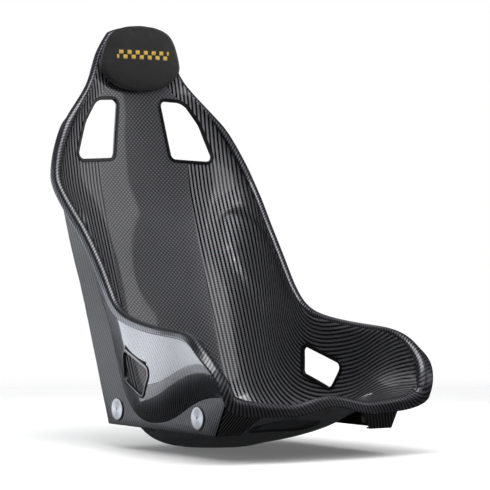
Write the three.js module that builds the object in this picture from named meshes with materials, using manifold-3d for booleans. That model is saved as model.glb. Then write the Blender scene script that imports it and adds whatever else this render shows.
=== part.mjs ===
// Racing seat: moulded carbon bucket on two bonded side boxes, with a pull-off head pad.
// Millimetres, +Z up, the seat faces -Y, x = 0 is the plane of symmetry.
import * as THREE from 'three';
import * as BufferGeometryUtils from 'three/addons/utils/BufferGeometryUtils.js';
import Module from 'manifold-3d';

const wasm = await Module();
wasm.setup();

// Driving dimensions
const skin = 3;               // laminate thickness of the bucket and the side boxes
const fit = 0.3;              // clearance left between two bonded pieces
const sheetRows = 40;         // mesh rows from the front edge to the top of the head
const sheetColumns = 12;      // mesh columns from the centre line to the rim
const wallPlane = 198;        // outer face of a side box, from the centre plane
const faceWidth = 400;        // width across the four mounting faces
const boltPitch = 290;        // front to rear spacing of the mounting bobbins
const boltHeight = 74;        // height of the bobbin centres over the underside
const bobbinDisc = 43;        // diameter of the visible bobbin face
const bobbinShank = 30;       // diameter of the shank through the box wall
const trimLeg = 5;            // how far a slot trim reaches over the laminate
const trimGauge = 1.6;        // wall thickness of a slot trim
const slant = 1.08;           // the laminate leans by about 20 degrees where the trims sit
const padBack = 403.6;        // plane of the head pad's back board, before centring
const loopTape = 2.2;         // thickness of the loop tape on the pad

// Bucket stations from the front edge, under the hips and up to the top of the head.
// seat: point on the centre line (y, z); hump: rise between the thighs, or dip under the hips;
// rim: end of the side wall (x, y, z); wall: half width low down; power: squareness.
const stations = [
  { seat: [-283, 101], hump: 16, rim: [204, -271, 127], wall: 207, power: 2.1 },
  { seat: [-256, 93], hump: 13, rim: [219, -255, 163], wall: 224, power: 2.7 },
  { seat: [-208, 78], hump: 9, rim: [224, -213, 203], wall: 231, power: 2.7 },
  { seat: [-152, 57], hump: 5, rim: [219, -173, 222], wall: 229, power: 2.7 },
  { seat: [-98, 40], hump: 2, rim: [215, -122, 227], wall: 229, power: 3.1 },
  { seat: [-50, 30], hump: -2, rim: [216, -74, 230], wall: 229, power: 3.9 },
  { seat: [-5, 19], hump: -4, rim: [214, -20, 234], wall: 227, power: 4.0 },
  { seat: [45, 8], hump: -8, rim: [209, 40, 242], wall: 222, power: 4.0 },
  { seat: [115, -3], hump: -9, rim: [207, 92, 254], wall: 210, power: 3.4 },
  { seat: [180, 25], hump: -7, rim: [205, 124, 274], wall: 194, power: 3.1 },
  { seat: [222, 71], hump: -2, rim: [204, 142, 294], wall: 188, power: 3.1 },
  { seat: [243, 125], hump: 0, rim: [203, 158, 314], wall: 188, power: 3.2 },
  { seat: [268, 195], hump: 0, rim: [204, 185, 352], wall: 188, power: 3.0 },
  { seat: [298, 275], hump: 0, rim: [207, 216, 391], wall: 192, power: 2.8 },
  { seat: [325, 345], hump: 0, rim: [210, 247, 427], wall: 200, power: 2.5 },
  { seat: [346, 405], hump: 0, rim: [216, 277, 459], wall: 208, power: 2.3 },
  { seat: [362, 455], hump: 0, rim: [220, 303, 488], wall: 215, power: 2.1 },
  { seat: [374, 497], hump: 0, rim: [221, 327, 514], wall: 219, power: 1.9 },
  { seat: [382, 535], hump: 0, rim: [215, 339, 540], wall: 215, power: 1.7 },
  { seat: [391, 590], hump: 0, rim: [197, 358, 587], wall: 197, power: 1.6 },
  { seat: [399, 650], hump: 0, rim: [165, 371, 645], wall: 165, power: 1.6 },
  { seat: [403, 683], hump: 0, rim: [144, 379, 675], wall: 144, power: 1.6 },
  { seat: [408, 718], hump: 0, rim: [113, 394, 712], wall: 113, power: 1.7 },
  { seat: [412, 750], hump: 0, rim: [96, 406, 743], wall: 96, power: 1.8 },
  { seat: [414, 790], hump: 0, rim: [85, 410, 781], wall: 85, power: 2.0 },
  { seat: [415, 832], hump: 0, rim: [57, 413, 821], wall: 57, power: 2.4 },
];
const humpHalfWidth = 95;

// Rolled lip: half width, rise, turn in degrees and straight flange, by place on the edge
const lipStyles = {
  front: { half: 9, rise: 7, turn: 105, flange: 13 },
  corner: { half: 12, rise: 8, turn: 140, flange: 12 },
  side: { half: 9, rise: 7, turn: 165, flange: 10 },
  head: { half: 9, rise: 7, turn: 150, flange: 8 },
};

// Openings in the bucket, seen square on: corner a, corner b, corner radius
const harnessSlot = [[49, 690, 12], [104, 687, 34], [136, 640, 60], [164, 561, 13], [68, 566, 13]];
const lapSlot = [[105, 192, 10], [-13, 156, 12], [20, 106, 12], [101, 134, 12]];

// Side box outline by height: front edge, rear edge and outer face
const boxLevels = [
  [45, -206, 184, 198], [120, -249, 215, 198], [160, -243, 231, 198], [200, -203, 248, 198],
  [227, -113, 259, 198], [242, 54, 265, 198], [254, 106, 269, 199], [274, 138, 275, 200],
  [294, 156, 281, 202], [314, 172, 286, 204], [352, 199, 297, 209], [391, 230, 307, 214],
  [427, 261, 315, 218], [459, 291, 323, 221], [482, 309, 328, 223],
];
const boxInnerX = 106;
const boxReturn = 12;

// Head pad outline, right half, from the bottom centre to the top centre
const padOutline = [
  [0, 705], [22, 707], [42, 711], [60, 718], [76, 727], [88, 739], [94, 752],
  [92, 767], [87, 785], [81, 803], [73, 819], [57, 831], [32, 838], [0, 841],
];

const finishes = {
  carbon: new THREE.MeshStandardMaterial({ color: 0x3a3a3c, roughness: 0.35 }),
  trim: new THREE.MeshStandardMaterial({ color: 0x101012, roughness: 0.25 }),
  aluminium: new THREE.MeshStandardMaterial({ color: 0xc9ccd0, metalness: 1, roughness: 0.35 }),
  laminate: new THREE.MeshStandardMaterial({ color: 0x6b665a, roughness: 0.7 }),
  suede: new THREE.MeshStandardMaterial({ color: 0x2a2a2c, roughness: 0.95 }),
  foam: new THREE.MeshStandardMaterial({ color: 0xb9b29c, roughness: 0.9 }),
  board: new THREE.MeshStandardMaterial({ color: 0x77716a, roughness: 0.8 }),
  tape: new THREE.MeshStandardMaterial({ color: 0x1b1b1d, roughness: 1 }),
  thread: new THREE.MeshStandardMaterial({ color: 0xe0b43c, roughness: 0.7 }),
};

const v3 = (x, y, z) => new THREE.Vector3(x, y, z);
const smooth = (a, b, x) => THREE.MathUtils.smoothstep(x, a, b);
const mix = (a, b, share) => a + (b - a) * share;

// ---------- bucket surface ----------

function splineWeights(t) {
  const s = 1 - t;
  return [s ** 3 / 6, (3 * t ** 3 - 6 * t * t + 4) / 6, (-3 * t ** 3 + 3 * t * t + 3 * t + 1) / 6, t ** 3 / 6];
}

const stationRows = stations.map((s) => [...s.seat, s.hump, ...s.rim, s.wall, s.power]);

function stationAt(position) {
  const last = stationRows.length - 1;
  const i = Math.min(Math.floor(position), last - 1);
  const pick = (k, c) => {
    if (k < 0) return 2 * stationRows[0][c] - stationRows[1][c];
    if (k > last) return 2 * stationRows[last][c] - stationRows[last - 1][c];
    return stationRows[k][c];
  };
  const w = splineWeights(position - i);
  return stationRows[0].map((_, c) => w.reduce((sum, wk, k) => sum + wk * pick(i - 1 + k, c), 0));
}

// Point of the occupant's side, u from front edge to head, t from centre line to rim
function bucketPoint(u, t) {
  const [seatY, seatZ, hump, rimX, rimY, rimZ, wall, power] = stationAt(u * (stations.length - 1));
  const angle = (smooth(0, 1, t) * Math.PI) / 2;
  const flat = smooth(640, 735, rimZ);
  const across = mix(Math.sin(angle) ** (2 / power), t, flat);
  const along = mix(1 - Math.max(Math.cos(angle), 0) ** (2 / power), t ** 2.5, flat);
  const x = wall * across + (rimX - wall) * along ** 1.5;
  const bump = x < humpHalfWidth ? (hump * (1 + Math.cos((Math.PI * x) / humpHalfWidth))) / 2 : 0;
  const z = seatZ + (rimZ - seatZ) * along + bump;
  return v3(x, seatY + (rimY - seatY) * along, Math.max(z, skin));
}

function bucketNormal(u, t) {
  const e = 1e-3;
  const uLow = Math.max(u - e, 0);
  const tLow = Math.max(t - e, 0);
  const du = bucketPoint(Math.min(u + e, 1), t).sub(bucketPoint(uLow, t));
  const dt = bucketPoint(u, Math.min(t + e, 1)).sub(bucketPoint(u, tLow));
  const n = du.cross(dt).normalize();
  return t < e ? n.setX(0).normalize() : n;
}

// Rows of points over the whole width, with the outward (back side) normals
function bucketSheet() {
  const points = [];
  const normals = [];
  for (let i = 0; i < sheetRows; i += 1) {
    const u = i / (sheetRows - 1);
    for (let j = 1 - sheetColumns; j < sheetColumns; j += 1) {
      const t = Math.abs(j) / (sheetColumns - 1);
      const side = j < 0 ? -1 : 1;
      points.push(bucketPoint(u, t).multiply(v3(side, 1, 1)));
      normals.push(bucketNormal(u, t).multiply(v3(side, 1, 1)));
    }
  }
  return { points, normals };
}

const sheetWidth = 2 * sheetColumns - 1;

function sheetTriangles() {
  const triangles = [];
  for (let i = 0; i < sheetRows - 1; i += 1) {
    for (let j = 0; j < sheetWidth - 1; j += 1) {
      const a = i * sheetWidth + j;
      const c = a + sheetWidth;
      if (j < sheetColumns - 1) triangles.push([a, a + 1, c], [a + 1, c + 1, c]);
      else triangles.push([a, a + 1, c + 1], [a, c + 1, c]);
    }
  }
  return triangles;
}

// Indices of the edge of the sheet, once round
function sheetEdge() {
  const top = (sheetRows - 1) * sheetWidth;
  const edge = [];
  for (let j = 0; j < sheetWidth; j += 1) edge.push(j);
  for (let i = 1; i < sheetRows; i += 1) edge.push(i * sheetWidth + sheetWidth - 1);
  for (let j = sheetWidth - 2; j >= 0; j -= 1) edge.push(top + j);
  for (let i = sheetRows - 2; i > 0; i -= 1) edge.push(i * sheetWidth);
  return edge;
}

// ---------- solid helpers ----------

function signedVolume(points, triangles) {
  let sum = 0;
  for (const [a, b, c] of triangles) sum += points[a].dot(points[b].clone().cross(points[c]));
  return sum / 6;
}

function solid(points, triangles) {
  const flip = signedVolume(points, triangles) < 0;
  const position = new Float32Array(points.flatMap((p) => [p.x, p.y, p.z]));
  const index = triangles.flatMap(([a, b, c]) => (flip ? [a, c, b] : [a, b, c]));
  return new wasm.Manifold(new wasm.Mesh({
    numProp: 3, vertProperties: position, triVerts: new Uint32Array(index),
  }));
}

// Skins a list of equal rings; the ends are closed by fans, or joined when looped
function loft(rings, looped = false) {
  const n = rings[0].length;
  const points = rings.flat();
  const triangles = [];
  const spans = looped ? rings.length : rings.length - 1;
  for (let r = 0; r < spans; r += 1) {
    const low = r * n;
    const high = ((r + 1) % rings.length) * n;
    for (let k = 0; k < n; k += 1) {
      const next = (k + 1) % n;
      triangles.push([low + k, low + next, high + next], [low + k, high + next, high + k]);
    }
  }
  if (!looped) {
    const top = (rings.length - 1) * n;
    for (const [start, up] of [[0, false], [top, true]]) {
      const centre = rings[start / n].reduce((sum, p) => sum.add(p), v3(0, 0, 0)).divideScalar(n);
      points.push(centre);
      const hub = points.length - 1;
      for (let k = 0; k < n; k += 1) {
        const next = (k + 1) % n;
        triangles.push(up ? [hub, start + k, start + next] : [hub, start + next, start + k]);
      }
    }
  }
  return solid(points, triangles);
}

function block(x0, x1, y0, y1, z0, z1) {
  const ring = (z) => [v3(x0, y0, z), v3(x1, y0, z), v3(x1, y1, z), v3(x0, y1, z)];
  return loft([ring(z0), ring(z1)]);
}

// Convex outline with rounded corners; a positive grow moves it outward
function roundedOutline(corners, grow, steps = 4, spacing = 10) {
  const arcs = corners.map(([a, b, radius], i) => {
    const here = new THREE.Vector2(a, b);
    const before = cornerAt(corners, i - 1).sub(here).normalize();
    const after = cornerAt(corners, i + 1).sub(here).normalize();
    const half = Math.acos(before.dot(after)) / 2;
    const toCentre = before.clone().add(after).normalize();
    const centre = here.clone().addScaledVector(toCentre, radius / Math.sin(half));
    const heading = Math.atan2(-toCentre.y, -toCentre.x);
    const spread = (Math.PI / 2 - half) * Math.sign(before.x * after.y - before.y * after.x);
    return Array.from({ length: steps + 1 }, (_, k) => {
      const angle = heading - spread * ((2 * k) / steps - 1);
      return [centre.x + (radius + grow) * Math.cos(angle), centre.y + (radius + grow) * Math.sin(angle)];
    });
  });
  return arcs.flatMap((arc, i) => {
    const [from, to] = [arc[steps], arcs[(i + 1) % arcs.length][0]];
    const pieces = Math.ceil(cornerAt(corners, i).distanceTo(cornerAt(corners, i + 1)) / spacing);
    const straight = Array.from({ length: pieces - 1 }, (_, k) => {
      const share = (k + 1) / pieces;
      return [from[0] + (to[0] - from[0]) * share, from[1] + (to[1] - from[1]) * share];
    });
    return [...arc, ...straight];
  });
}

function cornerAt(corners, i) {
  const [a, b] = corners[(i + corners.length) % corners.length];
  return new THREE.Vector2(a, b);
}

// ---------- bucket shell ----------

function lipStyleAt(point, onSide) {
  const blend = (a, b, k) => Object.fromEntries(Object.keys(a).map((key) => [key, mix(a[key], b[key], k)]));
  if (!onSide && point.z < 200) return blend(lipStyles.front, lipStyles.corner, smooth(110, 215, Math.abs(point.x)));
  if (point.z > 640) return blend(lipStyles.side, lipStyles.head, smooth(640, 760, point.z));
  return blend(lipStyles.corner, lipStyles.side, smooth(-260, -150, point.y));
}

function lipFrames(sheet, edge) {
  const n = edge.length;
  const frames = edge.map((index, k) => {
    const ahead = sheet.points[edge[(k + 1) % n]];
    const behind = sheet.points[edge[(k + n - 1) % n]];
    const along = ahead.clone().sub(behind).normalize();
    const away = sheet.normals[index].clone();
    return { away, up: away.clone().cross(along).normalize(), index };
  });
  for (let pass = 0; pass < 3; pass += 1) {
    const soft = frames.map((_, k) => {
      const near = [frames[(k + n - 1) % n], frames[k], frames[(k + 1) % n]];
      const mix = (key) => near[0][key].clone().add(near[1][key]).add(near[1][key]).add(near[2][key]).normalize();
      return [mix('away'), mix('up')];
    });
    soft.forEach(([away, up], k) => Object.assign(frames[k], { away, up }));
  }
  return frames;
}

// One ring of the lip at a share of its developed width, as face and back points
function lipRing(sheet, frames, share) {
  return frames.map(({ away, up, index }) => {
    const root = sheet.points[index];
    const onSide = index % sheetWidth === 0 || index % sheetWidth === sheetWidth - 1;
    const style = lipStyleAt(root, onSide);
    const roll = Math.min(share / 0.75, 1);
    const angle = THREE.MathUtils.degToRad(style.turn * roll);
    const straight = (Math.max(share - 0.75, 0) / 0.25) * style.flange;
    const run = [style.rise * Math.cos(angle), style.half * Math.sin(angle)];
    const size = Math.hypot(...run);
    const face = root.clone()
      .addScaledVector(up, style.rise * Math.sin(angle) + (straight * run[0]) / size)
      .addScaledVector(away, style.half * (1 - Math.cos(angle)) + (straight * run[1]) / size);
    const back = face.clone()
      .addScaledVector(up, (-skin * run[1]) / size)
      .addScaledVector(away, (skin * run[0]) / size);
    return { face, back };
  });
}

function bucketSolid(sheet) {
  const edge = sheetEdge();
  const frames = lipFrames(sheet, edge);
  const rings = [0.19, 0.38, 0.57, 0.75, 1].map((share) => lipRing(sheet, frames, share));
  const face = [...sheet.points, ...rings.flatMap((ring) => ring.map((p) => p.face))];
  const back = [...outerSheet(sheet, skin), ...rings.flatMap((ring) => ring.map((p) => p.back))];
  const n = edge.length;
  const base = sheet.points.length;
  const ringIndex = (r, k) => (r < 0 ? edge[k % n] : base + r * n + (k % n));
  const triangles = sheetTriangles();
  for (let r = -1; r < rings.length - 1; r += 1) {
    for (let k = 0; k < n; k += 1) {
      const [a, b, c, d] = [ringIndex(r, k), ringIndex(r, k + 1), ringIndex(r + 1, k + 1), ringIndex(r + 1, k)];
      triangles.push([b, a, d], [b, d, c]);
    }
  }
  const shift = face.length;
  const closed = [...triangles, ...triangles.map(([a, b, c]) => [shift + a, shift + c, shift + b])];
  for (let k = 0; k < n; k += 1) {
    const a = ringIndex(rings.length - 1, k);
    const b = ringIndex(rings.length - 1, k + 1);
    closed.push([b, a, shift + a], [b, shift + a, shift + b]);
  }
  return solid([...face, ...back], closed);
}

function outerSheet(sheet, depth) {
  return sheet.points.map((p, i) => {
    const moved = p.clone().addScaledVector(sheet.normals[i], depth);
    return moved.setZ(Math.max(moved.z, skin - depth));
  });
}

// Everything inside the back face of the bucket, closed over by a cone, grown by the fit
function bucketFilling(sheet) {
  const points = [...outerSheet(sheet, skin + fit), v3(0, -60, 520)];
  const edge = sheetEdge();
  const hub = points.length - 1;
  const lid = edge.map((index, k) => [edge[(k + 1) % edge.length], index, hub]);
  return solid(points, [...sheetTriangles(), ...lid]);
}

// ---------- slots and their trims ----------

// Where a line along one axis meets the sheet; axis 0 is X and axis 1 is Y
function landOn(points, axis, a, b) {
  const first = axis === 0 ? 'y' : 'x';
  const depth = axis === 0 ? 'x' : 'y';
  for (const [i, j, k] of sheetTriangles()) {
    const [p, q, r] = [points[i], points[j], points[k]];
    if (p.x + q.x + r.x < 0) continue;
    const area = (q[first] - p[first]) * (r.z - p.z) - (r[first] - p[first]) * (q.z - p.z);
    const wq = ((a - p[first]) * (r.z - p.z) - (r[first] - p[first]) * (b - p.z)) / area;
    const wr = ((q[first] - p[first]) * (b - p.z) - (a - p[first]) * (q.z - p.z)) / area;
    if (wq >= -1e-6 && wr >= -1e-6 && wq + wr <= 1 + 1e-6) {
      return p[depth] * (1 - wq - wr) + q[depth] * wq + r[depth] * wr;
    }
  }
  throw new Error(`no surface at ${a}, ${b}`);
}

function slotCutter(corners, axis, from, to) {
  const ring = (d) => roundedOutline(corners, 0).map(([a, b]) => (axis === 0 ? v3(d, a, b) : v3(a, d, b)));
  return loft([ring(from), ring(to)]);
}

// U-shaped edging clipped round a slot, with a leg on each face of the laminate
function slotTrim(sheet, corners, axis) {
  const front = sheet.points;
  const back = outerSheet(sheet, skin);
  const section = [
    [trimLeg, front, fit], [trimLeg, front, fit + trimGauge], [-fit - trimGauge, front, fit + trimGauge],
    [-fit - trimGauge, back, -fit - trimGauge], [trimLeg, back, -fit - trimGauge], [trimLeg, back, -fit],
    [-fit, back, -fit], [-fit, front, fit],
  ];
  const strands = section.map(([grow, face, height]) => roundedOutline(corners, grow).map(([a, b]) => {
    const depth = landOn(face, axis, a, b) - height * slant;
    return axis === 0 ? v3(depth, a, b) : v3(a, depth, b);
  }));
  return loft(strands, true);
}

// ---------- side boxes and mounting bobbins ----------

const boxRing = (x0, x1, y0, y1, z) => [v3(x0, y0, z), v3(x1, y0, z), v3(x1, y1, z), v3(x0, y1, z)];

function roundBar(radius, centre, from, to, steps = 28) {
  const ring = (x) => Array.from({ length: steps }, (_, k) => {
    const angle = (2 * Math.PI * k) / steps;
    return v3(x, centre.y + radius * Math.cos(angle), centre.z + radius * Math.sin(angle));
  });
  return loft([ring(from), ring(to)]);
}

function sideBox(filling, bolts) {
  const outside = loft(boxLevels.map(([z, y0, y1, x]) => boxRing(boxInnerX, x, y0, y1, z)));
  const last = boxLevels.length - 1;
  const hollow = loft(boxLevels.map(([z, y0, y1, x], i) => {
    const level = i === 0 ? z + skin : z - (i === last ? skin : 0);
    return boxRing(boxInnerX - 20, x - skin, y0 + skin, y1 - skin, level);
  }));
  const mouth = block(boxInnerX - 20, wallPlane - boxReturn, boxLevels[0][1] + boxReturn,
    boxLevels[0][2] - boxReturn, boxLevels[0][0] - 5, boxLevels[0][0] + skin + 4);
  const corner = loft([-270, -188].map((y) => [v3(90, y, 38), v3(154, y, 38), v3(96, y, 92), v3(90, y, 92)]));
  let body = outside.subtract(hollow).subtract(mouth).subtract(corner).subtract(filling);
  for (const bolt of bolts) {
    body = body.subtract(roundBar(bobbinShank / 2 + fit, bolt, wallPlane - 20, wallPlane + 10));
  }
  return body;
}

function bobbin(bolt) {
  const face = faceWidth / 2;
  const disc = roundBar(bobbinDisc / 2, bolt, wallPlane + fit, face, 48);
  const shank = roundBar(bobbinShank / 2, bolt, wallPlane - 10, wallPlane + 1, 48);
  return disc.add(shank);
}

function backingPlate(filling, bolt) {
  const back = wallPlane - skin - fit;
  const plate = block(back - 5, back, bolt.y - 28, bolt.y + 28, bolt.z - 24, bolt.z + 24);
  return plate.subtract(roundBar(bobbinShank / 2 + fit, bolt, back - 10, back + 5)).subtract(filling);
}

// ---------- head pad ----------

// Full pad outline, moved inward by an inset, at one depth
function padRing(inset, y) {
  const centre = new THREE.Vector2(0, 765);
  const full = [...padOutline, ...padOutline.slice(1, -1).reverse().map(([x, z]) => [-x, z])];
  const n = full.length;
  return full.map(([x, z], k) => {
    const ahead = new THREE.Vector2(...full[(k + 1) % n]);
    const tangent = ahead.sub(new THREE.Vector2(...full[(k + n - 1) % n])).normalize();
    const inward = new THREE.Vector2(-tangent.y, tangent.x);
    if (inward.dot(centre.clone().sub(new THREE.Vector2(x, z))) < 0) inward.negate();
    return v3(x + inward.x * inset, y, z + inward.y * inset);
  });
}

function padCover() {
  const outside = [[30, 383], [14, 384], [5, 386.8], [1, 391], [0, 396], [5, padBack - 0.2]];
  const wall = 1.4;
  const inside = [[5 + wall, padBack - 0.2], [wall, 396], [1 + wall, 391.4], [5 + wall, 388],
    [14, 385.5], [30, 384.5]];
  return loft([...outside, ...inside].map(([inset, y]) => padRing(inset, y)));
}

function padFoam() {
  const profile = [[30, 384.9], [14.4, 386], [6.9, 388.4], [2.9, 391.8], [2, 396], [5, 400.4]];
  return loft(profile.map(([inset, y]) => padRing(inset, y)));
}

const padBoard = () => loft([padRing(8, padBack - 2.8), padRing(8, padBack - 0.2)]);

// ---------- assembly ----------

const seat = new THREE.Group();
seat.name = 'racing_seat';

function mirrored(body) {
  const mesh = body.getMesh();
  const position = Float32Array.from(mesh.vertProperties);
  for (let i = 0; i < position.length; i += mesh.numProp) position[i] = -position[i];
  const index = Uint32Array.from(mesh.triVerts);
  for (let i = 0; i < index.length; i += 3) [index[i + 1], index[i + 2]] = [index[i + 2], index[i + 1]];
  return new wasm.Manifold(new wasm.Mesh({ numProp: 3, vertProperties: position, triVerts: index }));
}

function place(name, body, finish) {
  const mesh = body.getMesh();
  const geometry = new THREE.BufferGeometry();
  geometry.setAttribute('position', new THREE.BufferAttribute(Float32Array.from(mesh.vertProperties), 3));
  geometry.setIndex(new THREE.BufferAttribute(Uint32Array.from(mesh.triVerts), 1));
  const merged = BufferGeometryUtils.mergeVertices(geometry, 1e-4);
  merged.computeVertexNormals();
  const item = new THREE.Mesh(merged, finish.clone());
  item.name = name;
  seat.add(item);
}

// The plain name sits on +X, the occupant's left; its twin sits on -X
function placePair(name, body, finish) {
  place(`${name}_left`, body, finish);
  place(`${name}_right`, mirrored(body), finish);
}

const sheet = bucketSheet();
const filling = bucketFilling(sheet);
const harnessCutter = slotCutter(harnessSlot, 1, 320, 450);
const lapCutter = slotCutter(lapSlot, 0, 190, 245);
let shell = bucketSolid(sheet);
for (const cutter of [harnessCutter, lapCutter, mirrored(harnessCutter), mirrored(lapCutter)]) {
  shell = shell.subtract(cutter);
}
place('bucket_shell', shell, finishes.carbon);

const frontBolt = v3(0, -boltPitch / 2, boltHeight);
const rearBolt = v3(0, boltPitch / 2, boltHeight);
placePair('side_box', sideBox(filling, [frontBolt, rearBolt]), finishes.carbon);
for (const [end, bolt] of [['front', frontBolt], ['rear', rearBolt]]) {
  placePair(`mounting_bobbin_${end}`, bobbin(bolt), finishes.aluminium);
  placePair(`backing_plate_${end}`, backingPlate(filling, bolt), finishes.laminate);
}
placePair('harness_slot_trim', slotTrim(sheet, harnessSlot, 1), finishes.trim);
placePair('lap_slot_trim', slotTrim(sheet, lapSlot, 0), finishes.trim);

place('head_pad_cover', padCover(), finishes.suede);
place('head_pad_foam', padFoam(), finishes.foam);
place('head_pad_board', padBoard(), finishes.board);
place('head_pad_badge', block(-58, 58, 381.6, 382.6, 771, 789), finishes.thread);
for (const [row, z] of [['lower', 744], ['upper', 806]]) {
  const loopBack = padBack + 0.1 + loopTape;
  const edges = [[0, z - 12], [0, z + 12], [45, z - 12], [45, z + 12]];
  const hookBack = Math.min(...edges.map(([x, height]) => landOn(sheet.points, 1, x, height))) - 0.4;
  place(`loop_tape_${row}`, block(-45, 45, padBack + 0.1, loopBack, z - 12, z + 12), finishes.tape);
  place(`hook_tape_${row}`, block(-45, 45, loopBack + fit, hookBack, z - 12, z + 12), finishes.tape);
}

// Centre the whole seat front to back
const span = new THREE.Box3().setFromObject(seat);
const centreY = (span.min.y + span.max.y) / 2;
seat.children.forEach((item) => item.geometry.translate(0, -centreY, -span.min.z));

export default seat;
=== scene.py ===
# Racing seat: a moulded carbon bucket on two bonded side boxes, with a pull-off head pad.
import math
import bmesh
import bpy
import numpy as np
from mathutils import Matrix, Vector
from mathutils.bvhtree import BVHTree


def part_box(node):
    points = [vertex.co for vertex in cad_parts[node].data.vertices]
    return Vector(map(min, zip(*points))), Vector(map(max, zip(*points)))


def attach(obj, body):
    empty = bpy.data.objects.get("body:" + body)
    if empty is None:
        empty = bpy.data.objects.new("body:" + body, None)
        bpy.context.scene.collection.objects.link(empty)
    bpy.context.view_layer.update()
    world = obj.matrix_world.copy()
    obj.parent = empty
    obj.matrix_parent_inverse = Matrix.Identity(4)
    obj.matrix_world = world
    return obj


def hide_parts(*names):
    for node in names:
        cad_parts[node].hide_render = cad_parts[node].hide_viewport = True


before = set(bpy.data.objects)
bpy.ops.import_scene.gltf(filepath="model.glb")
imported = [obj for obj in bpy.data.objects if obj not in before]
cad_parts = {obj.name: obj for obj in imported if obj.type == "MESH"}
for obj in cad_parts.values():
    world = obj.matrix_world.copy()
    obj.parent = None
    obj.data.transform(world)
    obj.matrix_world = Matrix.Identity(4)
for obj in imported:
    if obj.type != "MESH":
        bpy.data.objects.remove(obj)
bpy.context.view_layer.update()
scene = bpy.context.scene
mm = 0.001


def middleOf(node):
    low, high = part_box(node)
    return (Vector(low) + Vector(high)) / 2


# The seat is laid out in millimetres from the point midway between the front and rear bolts, at floor level
boltPitch = (middleOf("mounting_bobbin_rear_left") - middleOf("mounting_bobbin_front_left")).y / mm
boltHeight = middleOf("mounting_bobbin_front_left").z / mm
seatOrigin = np.array([0, (middleOf("mounting_bobbin_rear_left").y / mm - boltPitch / 2), 0])


def linear(code):
    shares = [((code >> shift) & 255) / 255 for shift in (16, 8, 0)]
    return tuple(c / 12.92 if c <= 0.04045 else ((c + 0.055) / 1.055) ** 2.4 for c in shares) + (1,)


def mix(a, b, share):
    return a + (b - a) * share


def smoothStep(low, high, value):
    share = np.clip((np.asarray(value, float) - low) / (high - low), 0, 1)
    return share * share * (3 - 2 * share)


def addNode(tree, kind, settings=None, **links):
    # Settings are the node's own properties; links go to inputs by name or number, from a socket or a value
    node = tree.nodes.new(kind)
    for key, value in (settings or {}).items():
        setattr(node, key, value)
    for key, value in links.items():
        numbered = key[0] == "i" and key[1:].isdigit()
        socket = node.inputs[int(key[1:]) if numbered else key.replace("_", " ")]
        if isinstance(value, bpy.types.NodeSocket):
            tree.links.new(value, socket)
        else:
            socket.default_value = value
    return node


studio = {
    "camera": (-2.4616, -3.8231, 0.3845),   # eye level with the middle of the seat, 33 degrees to its right
    "azimuth": -33.25,
    "lens": 172.3,
    "floorTone": 0xD6D6D6,
    "floorFade": (0.9, 2.6),                # metres over which the floor melts into the backdrop
    "backdrop": 1.0,
    "roomGlow": 0.07,                       # what the seat sees above it where no lamp stands
    "roomDark": 0.03,                       # and below it
    "floorGlow": 0.13,
    "lamps": {                              # place, aim, width, height, watts, colour
        "topSoftbox": ((-0.2, -0.6, 2.5), (0, 0, 0.4), 1.4, 1.2, 38, 0xFFFFFF),
        "sideSoftbox": ((-2.0, 3.12, 0.7), (-0.2, 0, 0.2), 2.1, 2.0, 52, 0xF4F8FF),
        "sideLow": ((-2.0, 3.12, -0.55), (-0.2, 0, 0.1), 2.1, 0.5, 5, 0xF4F8FF),
        "rightStrip": ((2.2, -1.7, 1.3), (0, 0, 0.45), 0.9, 1.5, 6, 0xFFFFFF),
        "backFill": ((1.3, 3.4, 1.7), (0, 0, 0.4), 1.6, 1.6, 14, 0xFFFFFF),
        "frontFill": ((-0.2, -2.9, 2.2), (0, 0.1, 0.4), 1.5, 1.0, 9, 0xFFFFFF),
    },
    "floorLamp": ((0.0, -0.1, 1.6), 3.6, 78),   # lights the floor alone: place, size, watts
}


def setCamera():
    lens = bpy.data.cameras.new("camera")
    lens.lens = studio["lens"]
    lens.sensor_width = 36
    lens.clip_end = 60
    camera = bpy.data.objects.new("camera", lens)
    camera.location = studio["camera"]
    turn = math.radians(studio["azimuth"])
    ahead = Vector((-math.sin(turn), math.cos(turn), 0.0012))
    camera.rotation_euler = ahead.to_track_quat("-Z", "Y").to_euler()
    scene.collection.objects.link(camera)
    scene.camera = camera


def setLamps():
    for name, (place, aim, width, height, watts, tint) in studio["lamps"].items():
        lamp = bpy.data.lights.new(name, "AREA")
        lamp.shape = "RECTANGLE"
        lamp.size, lamp.size_y, lamp.energy = width, height, watts
        lamp.color = linear(tint)[:3]
        item = bpy.data.objects.new(name, lamp)
        item.location = place
        item.rotation_euler = (Vector(aim) - Vector(place)).to_track_quat("-Z", "Y").to_euler()
        scene.collection.objects.link(item)


def setFloorLamp(floor):
    place, size, watts = studio["floorLamp"]
    lamp = bpy.data.lights.new("floorLamp", "AREA")
    lamp.size, lamp.energy = size, watts
    item = bpy.data.objects.new("floorLamp", lamp)
    item.location = place
    scene.collection.objects.link(item)
    lit = bpy.data.collections.new("litByFloorLamp")
    lit.objects.link(floor)
    item.light_linking.receiver_collection = lit


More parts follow.
